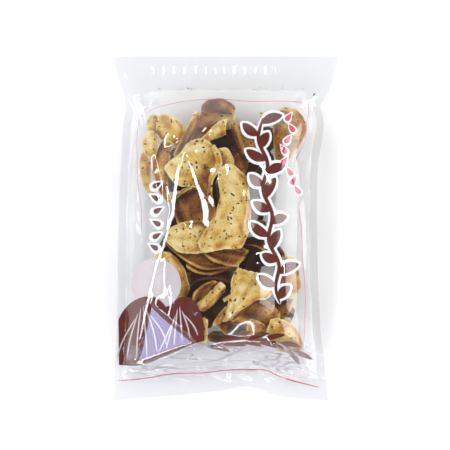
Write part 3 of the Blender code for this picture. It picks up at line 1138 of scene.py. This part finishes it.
def normals_of(grid):
    """Unit normals of a grid surface, from its differences along rows and columns."""
    outward = np.cross(np.gradient(grid, axis=0), np.gradient(grid, axis=1))
    return outward / np.maximum(np.linalg.norm(outward, axis=-1, keepdims=True), 1e-12)


def cell_of(points):
    """The cells of a map that lie under points."""
    cell = ((points[:, :2] - MAP_LOW) / CELL).astype(int)
    return tuple(np.clip(cell, 0, np.subtract(MAP_CELLS, 1)).T)


def map_centres():
    """x and y of the middles of a map's cells."""
    i, j = np.meshgrid(*map(np.arange, MAP_CELLS), indexing="ij")
    return MAP_LOW[0] + (i + 0.5) * CELL, MAP_LOW[1] + (j + 0.5) * CELL


def best_lean(points, limit, up):
    """The rise that takes the points to the limit map, for the lean that lets them go furthest."""
    about = points[:, :2].mean(0)
    lean_x, lean_y = (grid.ravel() for grid in np.meshgrid(LEANS, LEANS))
    offset = (points[:, 0, None] - about[0]) * lean_x + (points[:, 1, None] - about[1]) * lean_y
    room = limit[cell_of(points)][:, None] - points[:, 2, None] - offset
    travel = room.min(0) if up else room.max(0)
    effort = LEAN_EFFORT * (np.abs(lean_x) + np.abs(lean_y))
    best = np.argmax(travel - effort) if up else np.argmin(travel + effort)
    return travel[best], (lean_x[best], lean_y[best]), about


def place_shown(ceiling):
    """Presses each of the named karinto up against the film and the ones in front of it, and lowers the
    ceiling map to it."""
    placed = []
    for number, row in enumerate(SHOWN.values()):
        spread = max(np.ptp(np.concatenate([np.array(side, float) for side in row[:4]])[:, :2], axis=0))
        grid = FRONT_GRID if spread * MM > SMALL else SMALL_GRID
        strip = Karinto(*row, grid, np.random.default_rng(100 + number))
        strip.shift(*best_lean(strip.points(), ceiling, up=True))
        under = strip.points()
        np.minimum.at(ceiling, cell_of(under), under[:, 2] - TOUCHING)
        placed.append(strip)
    return placed


def loose_outline(x, y, heading, length, width, rng):
    """The four sides of a curled strip at (x, y): a rectangle turned to the heading and bent by a parabola,
    its corners drawn in and twisted, its head and foot arched up or down by 0.3 to 0.75 of its half width."""
    c, s = np.cos(heading), np.sin(heading)
    arch = rng.choice([-1, 1]) * rng.uniform(0.3, 0.75) * width / 2
    taper = rng.uniform(0.6, 0.95, 2)
    sway = rng.uniform(-4, 4)
    twist = rng.uniform(-4, 4, 4)

    def at(along, beside, up):
        lengthwise, sideways = along * length / 2, beside * width / 2 + sway * (1 - along**2)
        return (x + lengthwise * c - sideways * s, y + lengthwise * s + sideways * c, up)

    return (
        (at(-1, -taper[0], twist[0]), at(0, -1, 0)),
        (at(1, -taper[1], twist[1]), at(1.06, 0, arch)),
        (at(1, taper[1], twist[2]), at(0, 1, 0)),
        (at(-1, taper[0], twist[3]), at(-1.06, 0, arch)),
    )


def in_pile(x, y, spare=0.0):
    """Whether each point is inside the heap's outline, or within the spare of it."""
    within = (x > through(PILE_LEFT, y) - spare) & (x < through(PILE_RIGHT, y) + spare)
    return within & (y > PILE_ENDS[0] - spare) & (y < PILE_ENDS[1] + spare)


def place_hidden(floor, ceiling):
    """Drops more karinto on to the back film and on each other, wherever they fit under the shown ones. The
    last, smaller ones go where the heap still has a hole."""
    rng = np.random.default_rng(7)
    placed = []
    centre_x, centre_y = map_centres()
    bare = in_pile(centre_x, centre_y) & (ceiling > front_height(centre_x, centre_y) - 1.5 * FILM_GAP)
    for attempt in range(TRIES + LAST_TRIES):
        if attempt < TRIES:
            y = rng.uniform(*PILE_ENDS)
            x = rng.uniform(through(PILE_LEFT, y), through(PILE_RIGHT, y))
            shrink = 1 - SHRINKING * attempt / TRIES
        else:
            holes = np.argwhere(bare)
            if not len(holes):
                break
            x, y = MAP_LOW + (rng.permutation(holes)[0] + 0.5) * CELL + rng.normal(0, 3 * MM, 2)
            shrink = rng.uniform(*HOLE_SIZES)
        length, width = rng.uniform(*HIDDEN_LENGTH) * shrink, rng.uniform(*HIDDEN_WIDTH) * shrink
        heading = rng.uniform(0, 2 * np.pi)
        step = np.array([np.cos(heading), np.sin(heading)]) * length / 2 * MM
        ends = np.array([x - step[0], x + step[0]]), np.array([y - step[1], y + step[1]])
        if not in_pile(*ends).all():
            continue
        sides = loose_outline(x / MM, y / MM, heading, length, width, rng)
        brown = (rng.uniform(*HIDDEN_BROWN), 0.0, 0.0)
        strip = Karinto(*sides, 0.0, rng.uniform(0.15, 0.7, 2), brown, 1.0, BACK_GRID, rng)
        strip.shift(*best_lean(strip.points(), floor, up=False))
        points = strip.points()
        cells = cell_of(points)
        too_high = (points[:, 2] + TOUCHING > ceiling[cells]).any()
        if too_high or not in_pile(points[:, 0], points[:, 1], 4 * MM).all():
            continue
        np.maximum.at(floor, cells, points[:, 2] + TOUCHING)
        bare[cells] = False
        placed.append(strip)
    return placed


def shade_the_depths(strips, most):
    """Painted shade: makes karinto browner the deeper they lie under the front film, where less light reaches
    them.
    """
    for strip in strips:
        points = strip.points()
        depth = front_height(points[:, 0], points[:, 1]) - points[:, 2]
        deep = ease((depth - DEEP_FROM) / (DEEP_TO - DEEP_FROM))
        strip.browning += (most * deep).reshape(strip.browning.shape)


# ---------------------------------------------------------------- sesame

SEED = np.array([2.8, 1.7, 1.1]) * MM  # length, width and thickness
SEED_AREA = 64 * MM * MM  # of karinto surface for each seed
SEED_SIZES = (0.68, 1.12)
SEED_OUT = 0.32  # how far a bare seed's middle stands out of the face, in half thicknesses
SEED_DEEPER = 0.82  # how much deeper one lies that the dough covers
STRAY_SEED = (79, 118.5)  # (x, y) in mm
STRAY_SIZE = 1.1
DUST = (-58, -40, -35, -31, -5, 30, 35, 52, 58, 65)  # the x of crumbs caught under the zip, in mm
DUST_HEIGHT = 123.6  # their y
DUST_EACH = 3  # about each of those places
DUST_SIZES = (0.16, 0.42)


def seed_shape():
    """A drop-shaped seed of 17 points and 30 triangles: rings at three stations along it, with radius
    sin(station) and more of it towards the blunt end, between two poles."""
    stations = np.radians([42, 88, 140])
    turn = np.arange(5) * 2 * np.pi / 5
    s, t = np.meshgrid(stations, turn, indexing="ij")
    radius = np.sin(s) * (1 + 0.22 * np.cos(s))
    rings = np.stack([np.cos(s), radius * np.cos(t), radius * np.sin(t)], -1).reshape(-1, 3)
    points = np.concatenate([[[1.0, 0, 0]], rings, [[-1.0, 0, 0]]]) / 2
    j = np.arange(5)
    k = (j + 1) % 5
    cap = np.stack([np.zeros(5, int), 1 + j, 1 + k], -1)
    bands = [
        np.concatenate([np.stack([a + j, b + j, b + k], -1), np.stack([a + j, b + k, a + k], -1)])
        for a, b in ((1, 6), (6, 11))
    ]
    tail = np.stack([np.full(5, 16), 11 + k, 11 + j], -1)
    return points, np.concatenate([cap, *bands, tail])


def seeds_on(strips, rng):
    """Seeds set into both faces of the karinto, spread evenly over their area, each turned at random in the
    face's own plane: their places, their axes, and how far the dough covers each."""
    places, frames, cover = [], [], []
    for strip in strips:
        for face, sign in ((strip.top, 1), (strip.bottom, -1)):
            spans = np.cross(np.diff(face, axis=0)[:, :-1], np.diff(face, axis=1)[:-1])
            area = np.linalg.norm(spans, axis=-1)
            count = rng.poisson(area.sum() / SEED_AREA)
            cells = rng.choice(area.size, count, p=area.ravel() / area.sum())
            i, j = np.array(np.unravel_index(cells, area.shape)) + rng.uniform(0.01, 0.99, (2, count))
            rows, columns = face.shape[:2]
            inside = (i > 1.5) & (i < rows - 2.5) & (j > 1.2) & (j < columns - 2.2)  # off the rim
            i, j, count = i[inside], j[inside], inside.sum()
            outward = sign * bilinear(normals_of(face), i, j)
            hidden = rng.uniform(0, 1, count)
            depth = (SEED_OUT - SEED_DEEPER * hidden) * SEED[2] / 2
            places.append(bilinear(face, i, j) + outward * depth[:, None])
            frames.append(seed_axes(outward, rng.uniform(*SEED_SIZES, count), rng))
            cover.append(hidden)
    return tuple(map(np.concatenate, (places, frames, cover)))


def seed_axes(outward, size, rng):
    """The three axes of seeds that lie flat to the outward normals, turned at random and of those sizes."""
    tangent = np.cross(outward, rng.normal(size=outward.shape))
    axes = np.stack([tangent, np.cross(outward, tangent), outward], 1)
    axes /= np.linalg.norm(axes, axis=-1, keepdims=True)
    return axes * size[:, None, None] * SEED[:, None]


def loose_seeds(rng):
    """The seed and the crumbs that lie loose between the films under the zip."""
    clusters = rng.choice(np.array(DUST), len(DUST) * DUST_EACH)
    x = np.concatenate([[STRAY_SEED[0]], clusters + rng.normal(0, 2.2, len(clusters))]) * MM
    y = np.concatenate([[STRAY_SEED[1]], DUST_HEIGHT + rng.normal(0, 0.5, len(clusters))]) * MM
    size = np.concatenate([[STRAY_SIZE], rng.uniform(*DUST_SIZES, len(clusters))])
    level = np.tile([0.0, 0.0, 1.0], (len(x), 1))
    places = np.column_stack([x, y, (front_height(x, y) + back_height(x, y)) / 2])
    return places, seed_axes(level, size, rng), rng.uniform(0.2, 0.8, len(x)) * (size < 1)


def seed_body(places, frames, cover):
    """All seeds as one body, with the cover at each of its points."""
    unit, triangles = seed_shape()
    points = places[:, None] + unit @ frames
    shift = np.arange(len(places))[:, None, None] * len(unit)
    return (points.reshape(-1, 3), (triangles + shift).reshape(-1, 3)), np.repeat(cover, len(unit))


def bilinear(grid, i, j):
    """The grid's values at fractional rows i and columns j."""
    i0, j0 = i.astype(int), j.astype(int)
    fi, fj = (i - i0)[:, None], (j - j0)[:, None]
    return (
        grid[i0, j0] * (1 - fi) * (1 - fj)
        + grid[i0 + 1, j0] * fi * (1 - fj)
        + grid[i0, j0 + 1] * (1 - fi) * fj
        + grid[i0 + 1, j0 + 1] * fi * fj
    )


# ---------------------------------------------------------------- film

FRONT_FILM = (312, 284)  # columns and rows of its grid
BACK_FILM = (64, 92)


def sheet(columns, rows, height_of):
    """One film over an even grid of the bag's outline."""
    u, v = np.meshgrid(np.linspace(-1, 1, columns), np.linspace(-1, 1, rows), indexing="ij")
    x, y = outline(u, v)
    return np.stack([x, y, height_of(x, y)], -1)


def film_body():
    """The front film over a fine grid, the back film over a coarser one, and the narrow wall of the welds'
    edge, which hangs from the front."""
    front, back = sheet(*FRONT_FILM, front_height), sheet(*BACK_FILM, back_height)
    rim = rim_of(*FRONT_FILM)
    edge = front.reshape(-1, 3)[rim]
    foot = np.column_stack([edge[:, :2], back_height(*edge[:, :2].T)])
    under = len(front.reshape(-1, 3)) + np.arange(len(rim))
    wall = np.stack([rim, under, np.roll(under, -1), np.roll(rim, -1)], -1)
    points = np.concatenate([front.reshape(-1, 3), foot])
    upper = points, np.concatenate([quads_of(*FRONT_FILM), wall])
    return joined([upper, (back.reshape(-1, 3), quads_of(*BACK_FILM)[:, ::-1])])


# ---------------------------------------------------------------- print

INK = 0.10 * MM  # thickness of a printed layer
FURROW_DEPTH = 0.18 * MM  # how far under the film each layer of ink starts
COLOUR_DEPTH = 0.30 * MM
WHITE_DEPTH = 0.44 * MM
BEIGE_DEPTH = 0.58 * MM
FINE = 1.0 * MM  # spacing of a printed layer's grid

# Where the print lies, as (x, y) in mm: plain sprigs and drops, each over a white margin, and plain hills.
STEM = ((33, 97), (29, 78), (37, 56), (33, 34), (41, 12), (38, -10), (47, -32), (44, -52), (48, -66))
STEM_WIDTH = 3.2
STEM_LEAVES = 15
STEM_END = -80  # the heading of its end in degrees
LEAF = (20.0, 8.5)  # length and width
LEAF_TURN = 52  # degrees off the stem
LEAF_BEND = 0.06
WHITE_MARGIN = 2.2
DROP = (9.0, 5.0)
PETALS = ((56, 98), (58, 88), (55, 78), (51, 69), (52, 59), (56, 50), (60, 42), (63, 34))
PETAL_MARGIN, PETAL_TILT = 1.5, 35
DROP_ROW = ((-59, 38), (-61, 27), (-58, 16), (-60, 5), (-59, -6), (-62, -16))
DROP_ROW_MARGIN, DROP_ROW_TILT = 2.4, 60
HILLS = ((-72, 30, 60), (-40, 23, 46))  # middle x, half width, height above the hills' foot
HILL_FOOT = ((-94, -121), (-78, -121), (-50, -111), (-26, -100), (-18, -98))
HILL_GRID = (80, 66)
FURROWS = (-0.72, -0.45, -0.18, 0.10, 0.38, 0.66)  # where they run down a hill, from -1 to 1
FURROW_WIDTH = 1.3
SUN = (-60, -48, 22)  # middle and radius
GARLAND = ((-16, -103), (-4, -102), (8, -99), (20, -98), (32, -98), (43, -99), (53, -104), (62, -111))
GARLAND_LEAVES = 12
GARLAND_LEAF, GARLAND_TURN = (21.0, 4.6), 17
BORDER = (
    (-75, 98), (-66, 104), (-46, 110), (-10, 114), (22, 112), (68, 111), (73, 110), (74, 105), (72, 94),
    (70, 77), (61, 57), (60, 41), (65, 29), (65, 12), (67, -1), (68, -27), (70, -49), (70, -89), (69, -118),
    (74, -129), (70, -134),
)
BORDER_LEFT = ((-75, 98), (-77, 84), (-77, 60), (-76, 36), (-73, 16), (-73, -2))
BORDER_FOOT = (
    (-95, -135), (-82, -134), (-66, -132), (-49, -129), (-31, -128), (-19, -128), (-4, -126), (18, -125),
    (38, -126), (46, -130), (57, -134), (72, -138), (84, -141),
)
BORDER_WIDTHS = (0.4, 0.35, 1.0)  # of those three lines


def printed(x, y, depth):
    """A layer of ink over the plan grid (x, y) in mm: it follows the film at that depth under it."""
    x, y = x * MM, y * MM
    z = front_height(x, y) - depth
    return slab(np.stack([x, y, z], -1), np.stack([x, y, z - INK], -1))


def disc_grid(length, width):
    """A disc as radius and angle over a grid without a pole, fine enough for a shape of that size."""
    rows = int(max(8, round(length * MM / FINE)))
    columns = int(max(6, round(width * MM / FINE)))
    x, y, _ = rounded_square(rows, columns, 1, 1, 0.3)
    return np.hypot(x, y), np.arctan2(y, x)


def turned(x, y, place, degrees):
    """Points turned about the origin and then moved to the place."""
    c, s = np.cos(np.radians(degrees)), np.sin(np.radians(degrees))
    return place[0] + x * c - y * s, place[1] + x * s + y * c


def leaf(place, degrees, length, width, depth):
    """A leaf from its stalk at the place: half length cos(angle), half width sin(angle)^1.5, bent by 0.06
    length sin(pi x / length)."""
    radius, angle = disc_grid(length, width)
    x = radius * np.cos(angle) * length / 2 + length / 2
    y = radius * np.sign(np.sin(angle)) * np.abs(np.sin(angle)) ** 1.5 * width / 2
    return printed(*turned(x, y + LEAF_BEND * length * np.sin(np.pi * x / length), place, degrees), depth)


def drop(place, degrees, length, width, depth):
    """A drop: half length cos(angle), 0.65 width sin(angle) sin(angle / 2)^1.5."""
    radius, angle = disc_grid(length, width)
    x = radius * np.cos(angle) * length / 2
    y = radius * 0.65 * width * np.sin(angle) * np.abs(np.sin(angle / 2)) ** 1.5
    return printed(*turned(x, y, place, degrees), depth)


def ribbon(points, width, depth, ends=8):
    """A band of ink along a smooth curve: half width times (1 - |2 s - 1|^ends)^0.5, s along it."""
    curve = side_curve(points)
    steps = np.linalg.norm(np.diff(np.array(points, float), axis=0), axis=1).sum()
    s = np.linspace(0, 1, int(max(8, steps * MM / FINE)))[:, None]
    t = np.linspace(-1, 1, 3 if width < 2 else 5)
    centre = curve(s[:, 0])
    heading = np.gradient(centre, axis=0)
    heading /= np.linalg.norm(heading, axis=1, keepdims=True)
    aside = t * width / 2 * np.sqrt(1 - 0.998 * np.abs(2 * s - 1) ** ends)
    return printed(centre[:, :1] - heading[:, 1:] * aside, centre[:, 1:] + heading[:, :1] * aside, depth)


def hill_top(x):
    """Height of the hills above their foot: the higher of half ellipses, height sqrt(1 - (distance / half
    width)^2), and half a millimetre between them."""
    top = np.full_like(x, 0.5)
    for middle, half_width, height in HILLS:
        top = np.maximum(top, height * np.sqrt(np.clip(1 - ((x - middle) / half_width) ** 2, 0, 1)))
    return top


def hills():
    """Columns of ink from the hills' foot to their tops."""
    columns, rows = HILL_GRID
    x = np.linspace(HILL_FOOT[0][0], HILL_FOOT[-1][0], columns)[:, None]
    up = np.linspace(0, 1, rows)
    y = through(HILL_FOOT, x) + hill_top(x) * up
    return printed(x + 0 * up, y, COLOUR_DEPTH)


def furrows():
    """Light lines that run down each hill, from 0.3 of the way to its side at the top to 1.1 at the foot."""
    lines = []
    for middle, half_width, height in HILLS:
        for share in FURROWS:
            top_x = middle + 0.3 * share * half_width
            foot_x = middle + 1.1 * share * half_width
            foot_y, top_y = through(HILL_FOOT, foot_x), through(HILL_FOOT, top_x)
            crest = height - 6 - 16 * abs(share)
            bend = (foot_x + 0.25 * (top_x - foot_x), foot_y + 0.45 * crest)
            points = ((foot_x, foot_y + 6), bend, (top_x, top_y + crest))
            lines.append(ribbon(points, FURROW_WIDTH, FURROW_DEPTH, 3))
    return joined(lines)


def sprig():
    """The stem with its leaves in turn to the left and the right, and again wider in white."""
    curve = side_curve(STEM)
    colour = [ribbon(STEM, STEM_WIDTH, COLOUR_DEPTH)]
    white = [ribbon(STEM, STEM_WIDTH + 2 * WHITE_MARGIN, WHITE_DEPTH)]
    for number, share in enumerate(np.linspace(0.03, 0.97, STEM_LEAVES)):
        at, ahead = curve(np.array([share, min(share + 0.02, 1.0)]))
        heading = np.degrees(np.arctan2(*(ahead - at)[::-1])) if share < 0.97 else STEM_END
        side = 1 if number % 2 else -1
        length, width = LEAF[0] * (1 - 0.12 * (number % 3)), LEAF[1]
        turn = heading + 180 + side * LEAF_TURN
        colour.append(leaf(at, turn, length, width, COLOUR_DEPTH))
        back = WHITE_MARGIN * np.array([np.cos(np.radians(turn)), np.sin(np.radians(turn))])
        wider = (length + 2 * WHITE_MARGIN, width + 2.2 * WHITE_MARGIN)
        white.append(leaf(at - back, turn, *wider, WHITE_DEPTH))
    return joined(colour), joined(white)


def small_drops(places, margin, tilt):
    """A row of drops that lean in turn to either side, and again wider in white."""
    length, width = DROP
    colour, white = [], []
    for number, place in enumerate(places):
        turn = 90 + tilt * (1 if number % 2 else -1)
        colour.append(drop(place, turn, length, width, COLOUR_DEPTH))
        white.append(drop(place, turn, length + 2.4 * margin, width + 2 * margin, WHITE_DEPTH))
    return joined(colour), joined(white)


def garland():
    """Long thin leaves one behind the other along a low arc."""
    curve = side_curve(GARLAND)
    leaves = []
    for number, share in enumerate(np.linspace(0.0, 0.94, GARLAND_LEAVES)):
        at, ahead = curve(np.array([share, share + 0.04]))
        heading = np.degrees(np.arctan2(*(ahead - at)[::-1]))
        side = 1 if number % 2 else -1
        leaves.append(leaf(at, heading + side * GARLAND_TURN, *GARLAND_LEAF, COLOUR_DEPTH))
    return joined(leaves)


def sun():
    """A plain disc."""
    x, y, size = SUN
    radius, angle = disc_grid(2 * size, 2 * size)
    return printed(x + size * radius * np.cos(angle), y + size * radius * np.sin(angle), BEIGE_DEPTH)


def border():
    """The thin line round the pouch, in three runs."""
    runs = zip((BORDER, BORDER_LEFT, BORDER_FOOT), BORDER_WIDTHS)
    return joined([ribbon(points, width, COLOUR_DEPTH) for points, width in runs])


# ---------------------------------------------------------------- making it


def karinto_piece(name, strips, dough):
    """Many karinto as one piece, each point with its browning and painted shade."""
    browning = np.concatenate([strip.browning.ravel() for strip in strips])
    body = joined([strip.body() for strip in strips])
    return piece(name, body, dough, "karinto", crisp=CRISP, browning=browning)


def fill_bag():
    """The karinto, those seen through the film and those behind them, and their sesame."""
    ceiling = front_height(*map_centres()) - FILM_GAP
    floor = back_height(*map_centres()) + TOUCHING
    shown = place_shown(ceiling)
    hidden = place_hidden(floor, ceiling)
    shade_the_depths(shown, SHOWN_DEPTH_SHADE)
    shade_the_depths(hidden, HIDDEN_DEPTH_SHADE)
    dough = karinto_dough()
    front = karinto_piece("karinto_front", shown, dough)
    back = karinto_piece("karinto_back", hidden, dough)
    set_in = seeds_on([*shown, *hidden], np.random.default_rng(21))
    loose = loose_seeds(np.random.default_rng(22))
    seeds, covered = seed_body(*[np.concatenate(pair) for pair in zip(set_in, loose)])
    return front, back, piece("black_sesame", seeds, sesame_seed(), "black_sesame", covered=covered)


def wrap():
    """The film, with how crumpled it is at each point."""
    body = film_body()
    return piece("bag_film", body, clear_film(), "clear_film", crumpled=crumpled(*body[0][:, :2].T))


def print_bag():
    """The print, one piece for each ink."""
    sprig_colour, sprig_white = sprig()
    petal_colour, petal_white = small_drops(PETALS, PETAL_MARGIN, PETAL_TILT)
    row_colour, row_white = small_drops(DROP_ROW, DROP_ROW_MARGIN, DROP_ROW_TILT)
    brown = ink("brown ink", (0.115, 0.015, 0.006))
    pink = ink("pink ink", (0.60, 0.03, 0.11))
    white = ink("white ink", (0.86, 0.87, 0.89), unevenness=0.04)
    beige = ink("beige ink", (0.580, 0.520, 0.525), unevenness=0.05)
    return (
        piece("brown_sprig", joined([sprig_colour, row_colour, garland(), hills()]), brown, "brown_print"),
        piece("pink_petals", joined([petal_colour, border()]), pink, "pink_print"),
        piece("white_margins", joined([sprig_white, petal_white, row_white]), white, "white_print"),
        piece("beige_sun", joined([sun(), furrows()]), beige, "beige_print"),
    )


front, back, sesame = fill_bag()
for part in (wrap(), front, back, sesame, *print_bag()):
    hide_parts("filled_bag")

# ---------------------------------------------------------------- floor, light and camera

FLOOR = (3.0, 0.020, 0.0004)  # half its side, its thickness, and its gap to the bag
BAG_MIDDLE = (0, 0, 0.03)  # where every light points
WHITE = (1.0, 1.0, 1.0)
LIGHTS = (  # name, place, width and height, watts, colour, and whether the film mirrors it
    ("left strip", (-0.95, 0.05, 0.95), (2.7, 0.135), 13.5, WHITE, True),
    ("right window", (1.45, 0.10, 0.45), (1.8, 1.2), 18, WHITE, True),
    ("right lamp", (1.00, 0.25, 1.20), (0.07, 0.07), 2.6, WHITE, True),
    ("far lamp", (-0.35, 0.95, 1.35), (0.07, 0.07), 3.0, WHITE, True),
    ("near strip", (0.2, -1.45, 0.46), (1.6, 0.08), 4, (0.97, 0.96, 1.0), True),
    ("soft box above", (0.1, 0.1, 2.3), (1.6, 1.6), 14.6, WHITE, False),
    ("near left window", (-0.72, -0.98, 0.91), (0.42, 0.42), 3.9, (0.54, 0.61, 1.0), True),
)
WORLD = (1.10, 0.12)  # its strength at the horizon and overhead
WORLD_TURN = (0.45, 0.70)  # the height of a direction where the one ends and the other starts
WORLD_LEAN = 0.25  # how much higher a direction counts for each 1 that it goes to the far or the near side
CAMERA_PLACE = (0.0, 0.0031, 2.0)
SEEN_WIDTH = 0.400  # of the floor, across the frame
SENSOR = 36.0


def floor_plane():
    """A thin slab just under the bag."""
    side, thickness, gap = FLOOR
    ground = side * np.array([[[-1, -1, 0], [-1, 1, 0]], [[1, -1, 0], [1, 1, 0]]]) - [0, 0, gap]
    points, faces = slab(ground, ground - [0, 0, thickness])
    mesh = bpy.data.meshes.new("floor")
    mesh.from_pydata(points.tolist(), [], faces.tolist())
    mesh.materials.append(white_ground())
    made = bpy.data.objects.new("floor", mesh)
    bpy.context.scene.collection.objects.link(made)
    return made


def soft_light(name, place, size, watts, colour, mirrored):
    """A lit rectangle that points at the bag."""
    light = bpy.data.lights.new(name, "AREA")
    light.shape = "RECTANGLE"
    light.size, light.size_y = size
    light.energy = watts
    light.color = colour
    made = bpy.data.objects.new(name, light)
    made.location = place
    made.rotation_euler = (Vector(BAG_MIDDLE) - Vector(place)).to_track_quat("-Z", "Y").to_euler()
    made.visible_glossy = mirrored
    bpy.context.scene.collection.objects.link(made)


def surroundings():
    """A bright room with a dark ceiling over the camera: dim straight up, pale towards the horizon, and
    the dim part longer to the far and the near side. Its strength follows z + |y| / 4 of the direction."""
    tree = Tree(bpy.data.worlds.new("studio"), "OutputWorld")
    direction = tree.node("SeparateXYZ", i0=tree.node("TexCoord").outputs["Generated"]).outputs
    lean = tree.math("MULTIPLY", tree.math("ABSOLUTE", direction["Y"]), WORLD_LEAN)
    strength = tree.span(tree.math("ADD", lean, direction["Z"]), *WORLD_TURN, *WORLD)
    return tree.finish(tree.node("Background", Color=(1.0, 0.99, 0.97, 1.0), Strength=strength))


def camera_above():
    """The camera, straight over the bag as in the photograph."""
    camera = bpy.data.cameras.new("camera")
    camera.sensor_width = SENSOR
    camera.lens = SENSOR * CAMERA_PLACE[2] / SEEN_WIDTH
    camera.clip_end = 20
    made = bpy.data.objects.new("camera", camera)
    made.location = CAMERA_PLACE
    bpy.context.scene.collection.objects.link(made)
    return made


floor_plane()
for light in LIGHTS:
    soft_light(*light)
bpy.context.scene.world = surroundings()
bpy.context.scene.view_settings.view_transform = "Standard"
bpy.context.scene.camera = camera_above()
